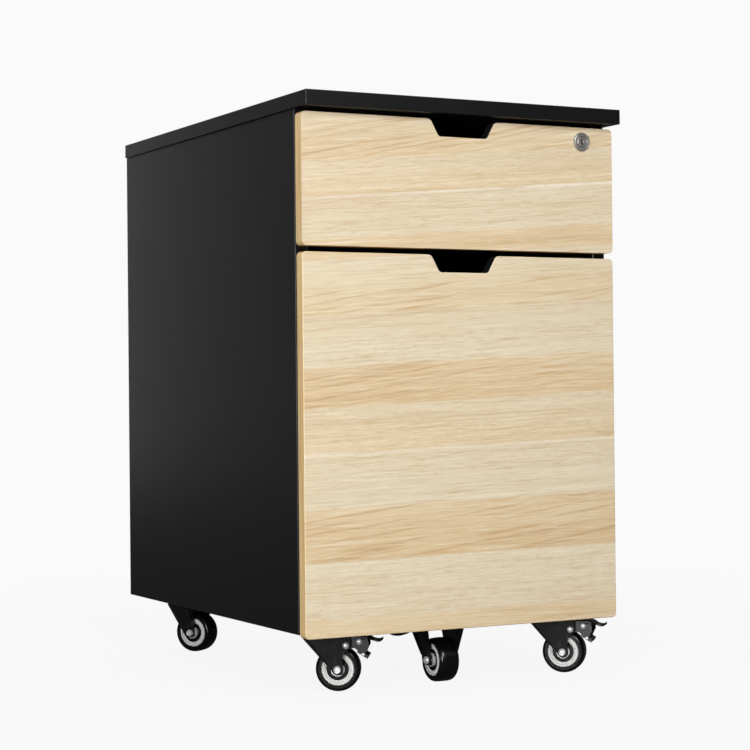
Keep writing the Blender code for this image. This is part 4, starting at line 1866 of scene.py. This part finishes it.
@dataclass
class Studio:
    """A pale seamless floor, a near-white surround, soft lights and the camera. Sizes are in metres."""

    lens: float = 95.44153
    sensor: float = 36.0
    camera_at: Place = (-1.12125, -2.16750, 0.33524)
    yaw: float = 0.48482534
    pitch: float = 0.00640564
    roll: float = -0.00974682
    floor_half: float = 60.0
    shade_from: float = 0.5
    shade_to: float = 1.6
    shade: float = 0.05
    paper: float = 0.955
    horizon_light: float = 0.025
    sky_light: float = 0.36
    floor_light: float = 0.07

    def build(self) -> None:
        """Set up the surround, the floor, the lights and the camera."""
        self._surround()
        self._floor()
        for box in (
            SoftBox("key_light", (-2.5, -2.3, 0.42), (0.0, -0.2, 0.18), (1.3, 1.2), 86.0),
            SoftBox("fill_light", (-0.45, -2.9, 1.7), (0.0, -0.25, 0.15), (1.3, 1.0), 48.0),
            SoftBox("top_light", (0.2, 0.5, 2.6), (0.0, 0.0, 0.4), (2.0, 2.0), 14.0),
            SoftBox("back_light", (-0.30, 1.75, 0.75), (-0.2, 0.2, 0.35), (0.45, 1.3), 3.2),
        ):
            box.build()
        self._camera()

    @staticmethod
    def _seen_or(sheet: NodeSheet, seen: float, otherwise: Val | float) -> Val:
        """One number where the background is looked at directly, and another where it gives light."""
        direct = Val(sheet, sheet.node("ShaderNodeLightPath").outputs["Is Camera Ray"])
        return direct * seen + (1 - direct) * otherwise

    def _surround(self) -> None:
        """Make the near-white world, which gives a soft light from above and little from the horizon."""
        scene = bpy.context.scene
        scene.world = bpy.data.worlds.new("surround")
        scene.world.use_nodes = True
        sheet = NodeSheet(scene.world.node_tree)
        background = sheet.tree.nodes["Background"]
        background.inputs["Color"].default_value = (1.0, 1.0, 1.0, 1.0)
        _, _, rise = sheet.split(sheet.node("ShaderNodeTexCoord").outputs["Generated"])
        light = rise.step(0.10, 0.75) * (self.sky_light - self.horizon_light) + self.horizon_light
        strength = self._seen_or(sheet, self.paper, light)
        sheet.feed(background.inputs["Strength"], strength)
        scene.view_settings.view_transform = "Standard"

    def _floor(self) -> None:
        """Lay a wide pale floor that takes a faint shade round the object and meets the surround unseen."""
        bm = bmesh.new()
        bmesh.ops.create_grid(bm, x_segments=1, y_segments=1, size=self.floor_half)
        mesh = bpy.data.meshes.new("floor")
        bm.to_mesh(mesh)
        bm.free()
        shader = Shader("pale_floor")
        x, y, _ = shader.split(shader.place)
        near = 1 - (x * x + y * y).root().step(self.shade_from, self.shade_to)
        glow = self._seen_or(shader, self.paper, self.floor_light) - near * self.shade
        shader.set(base_color=near * self.shade, roughness=0.9, specular_ior_level=0.0)
        shader.set(emission_color=glow, emission_strength=1.0)
        mesh.materials.append(shader.material)
        floor = bpy.data.objects.new("floor", mesh)
        bpy.context.scene.collection.objects.link(floor)

    def _camera(self) -> None:
        """Stand the camera where the framing needs it."""
        data = bpy.data.cameras.new("camera")
        data.sensor_width = self.sensor
        data.lens = self.lens
        camera = bpy.data.objects.new("camera", data)
        bpy.context.scene.collection.objects.link(camera)
        level = math.cos(self.pitch)
        ahead = Vector((math.sin(self.yaw) * level, math.cos(self.yaw) * level, math.sin(self.pitch)))
        right = Vector((math.cos(self.yaw), -math.sin(self.yaw), 0.0))
        up = right.cross(ahead)
        rolled_right = right * math.cos(self.roll) + up * math.sin(self.roll)
        rolled_up = up * math.cos(self.roll) - right * math.sin(self.roll)
        turn = Matrix((rolled_right, rolled_up, -ahead)).transposed()
        camera.matrix_world = Matrix.Translation(self.camera_at) @ turn.to_4x4()
        bpy.context.scene.camera = camera


# ---------------------------------------------------------------- assembly


def build_casters() -> None:
    """Build the four corner casters and the one under the file drawer."""
    Caster("front_left", -147.0, -184.0, -32.0, CasterKind.BRAKED).build()
    Caster("front_right", 147.0, -191.0, -42.6, CasterKind.BRAKED).build()
    for side in Side:
        Caster(f"rear_{side.word}", side.value * 147.0, 215.0, -54.0).build()
    Caster("drawer", 0.0, -173.0, -90.0, plate_body="lower_drawer").build()


def main() -> None:
    """Load the frame, build every sub-assembly round it and light it."""
    logging.basicConfig(level=logging.INFO, format="%(name)s: %(message)s")
    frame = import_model()
    nodes = frame["nodes"]
    lock = CamLock()
    Carcass().build(nodes)
    DrawerFront("upper_drawer_front", "upper_drawer", 488.6, 632.3, (lock.x, lock.z, 9.6)).build()
    DrawerFront("lower_drawer_front", "lower_drawer", 66.6, 482.0).build()
    DrawerBox("upper", 512.0, 598.0).build(nodes)
    DrawerBox("lower", 98.0, 368.0).build(nodes)
    SlidePair("upper", 540.0).build()
    SlidePair("lower", 140.0).build()
    dress(nodes, ZINC_SLIDE, "left_file_rail", "right_file_rail")
    dress(nodes, BLACK, "drawer_caster_block")
    lock.build()
    build_casters()
    Studio().build()


if __name__ == "__main__":
    main()
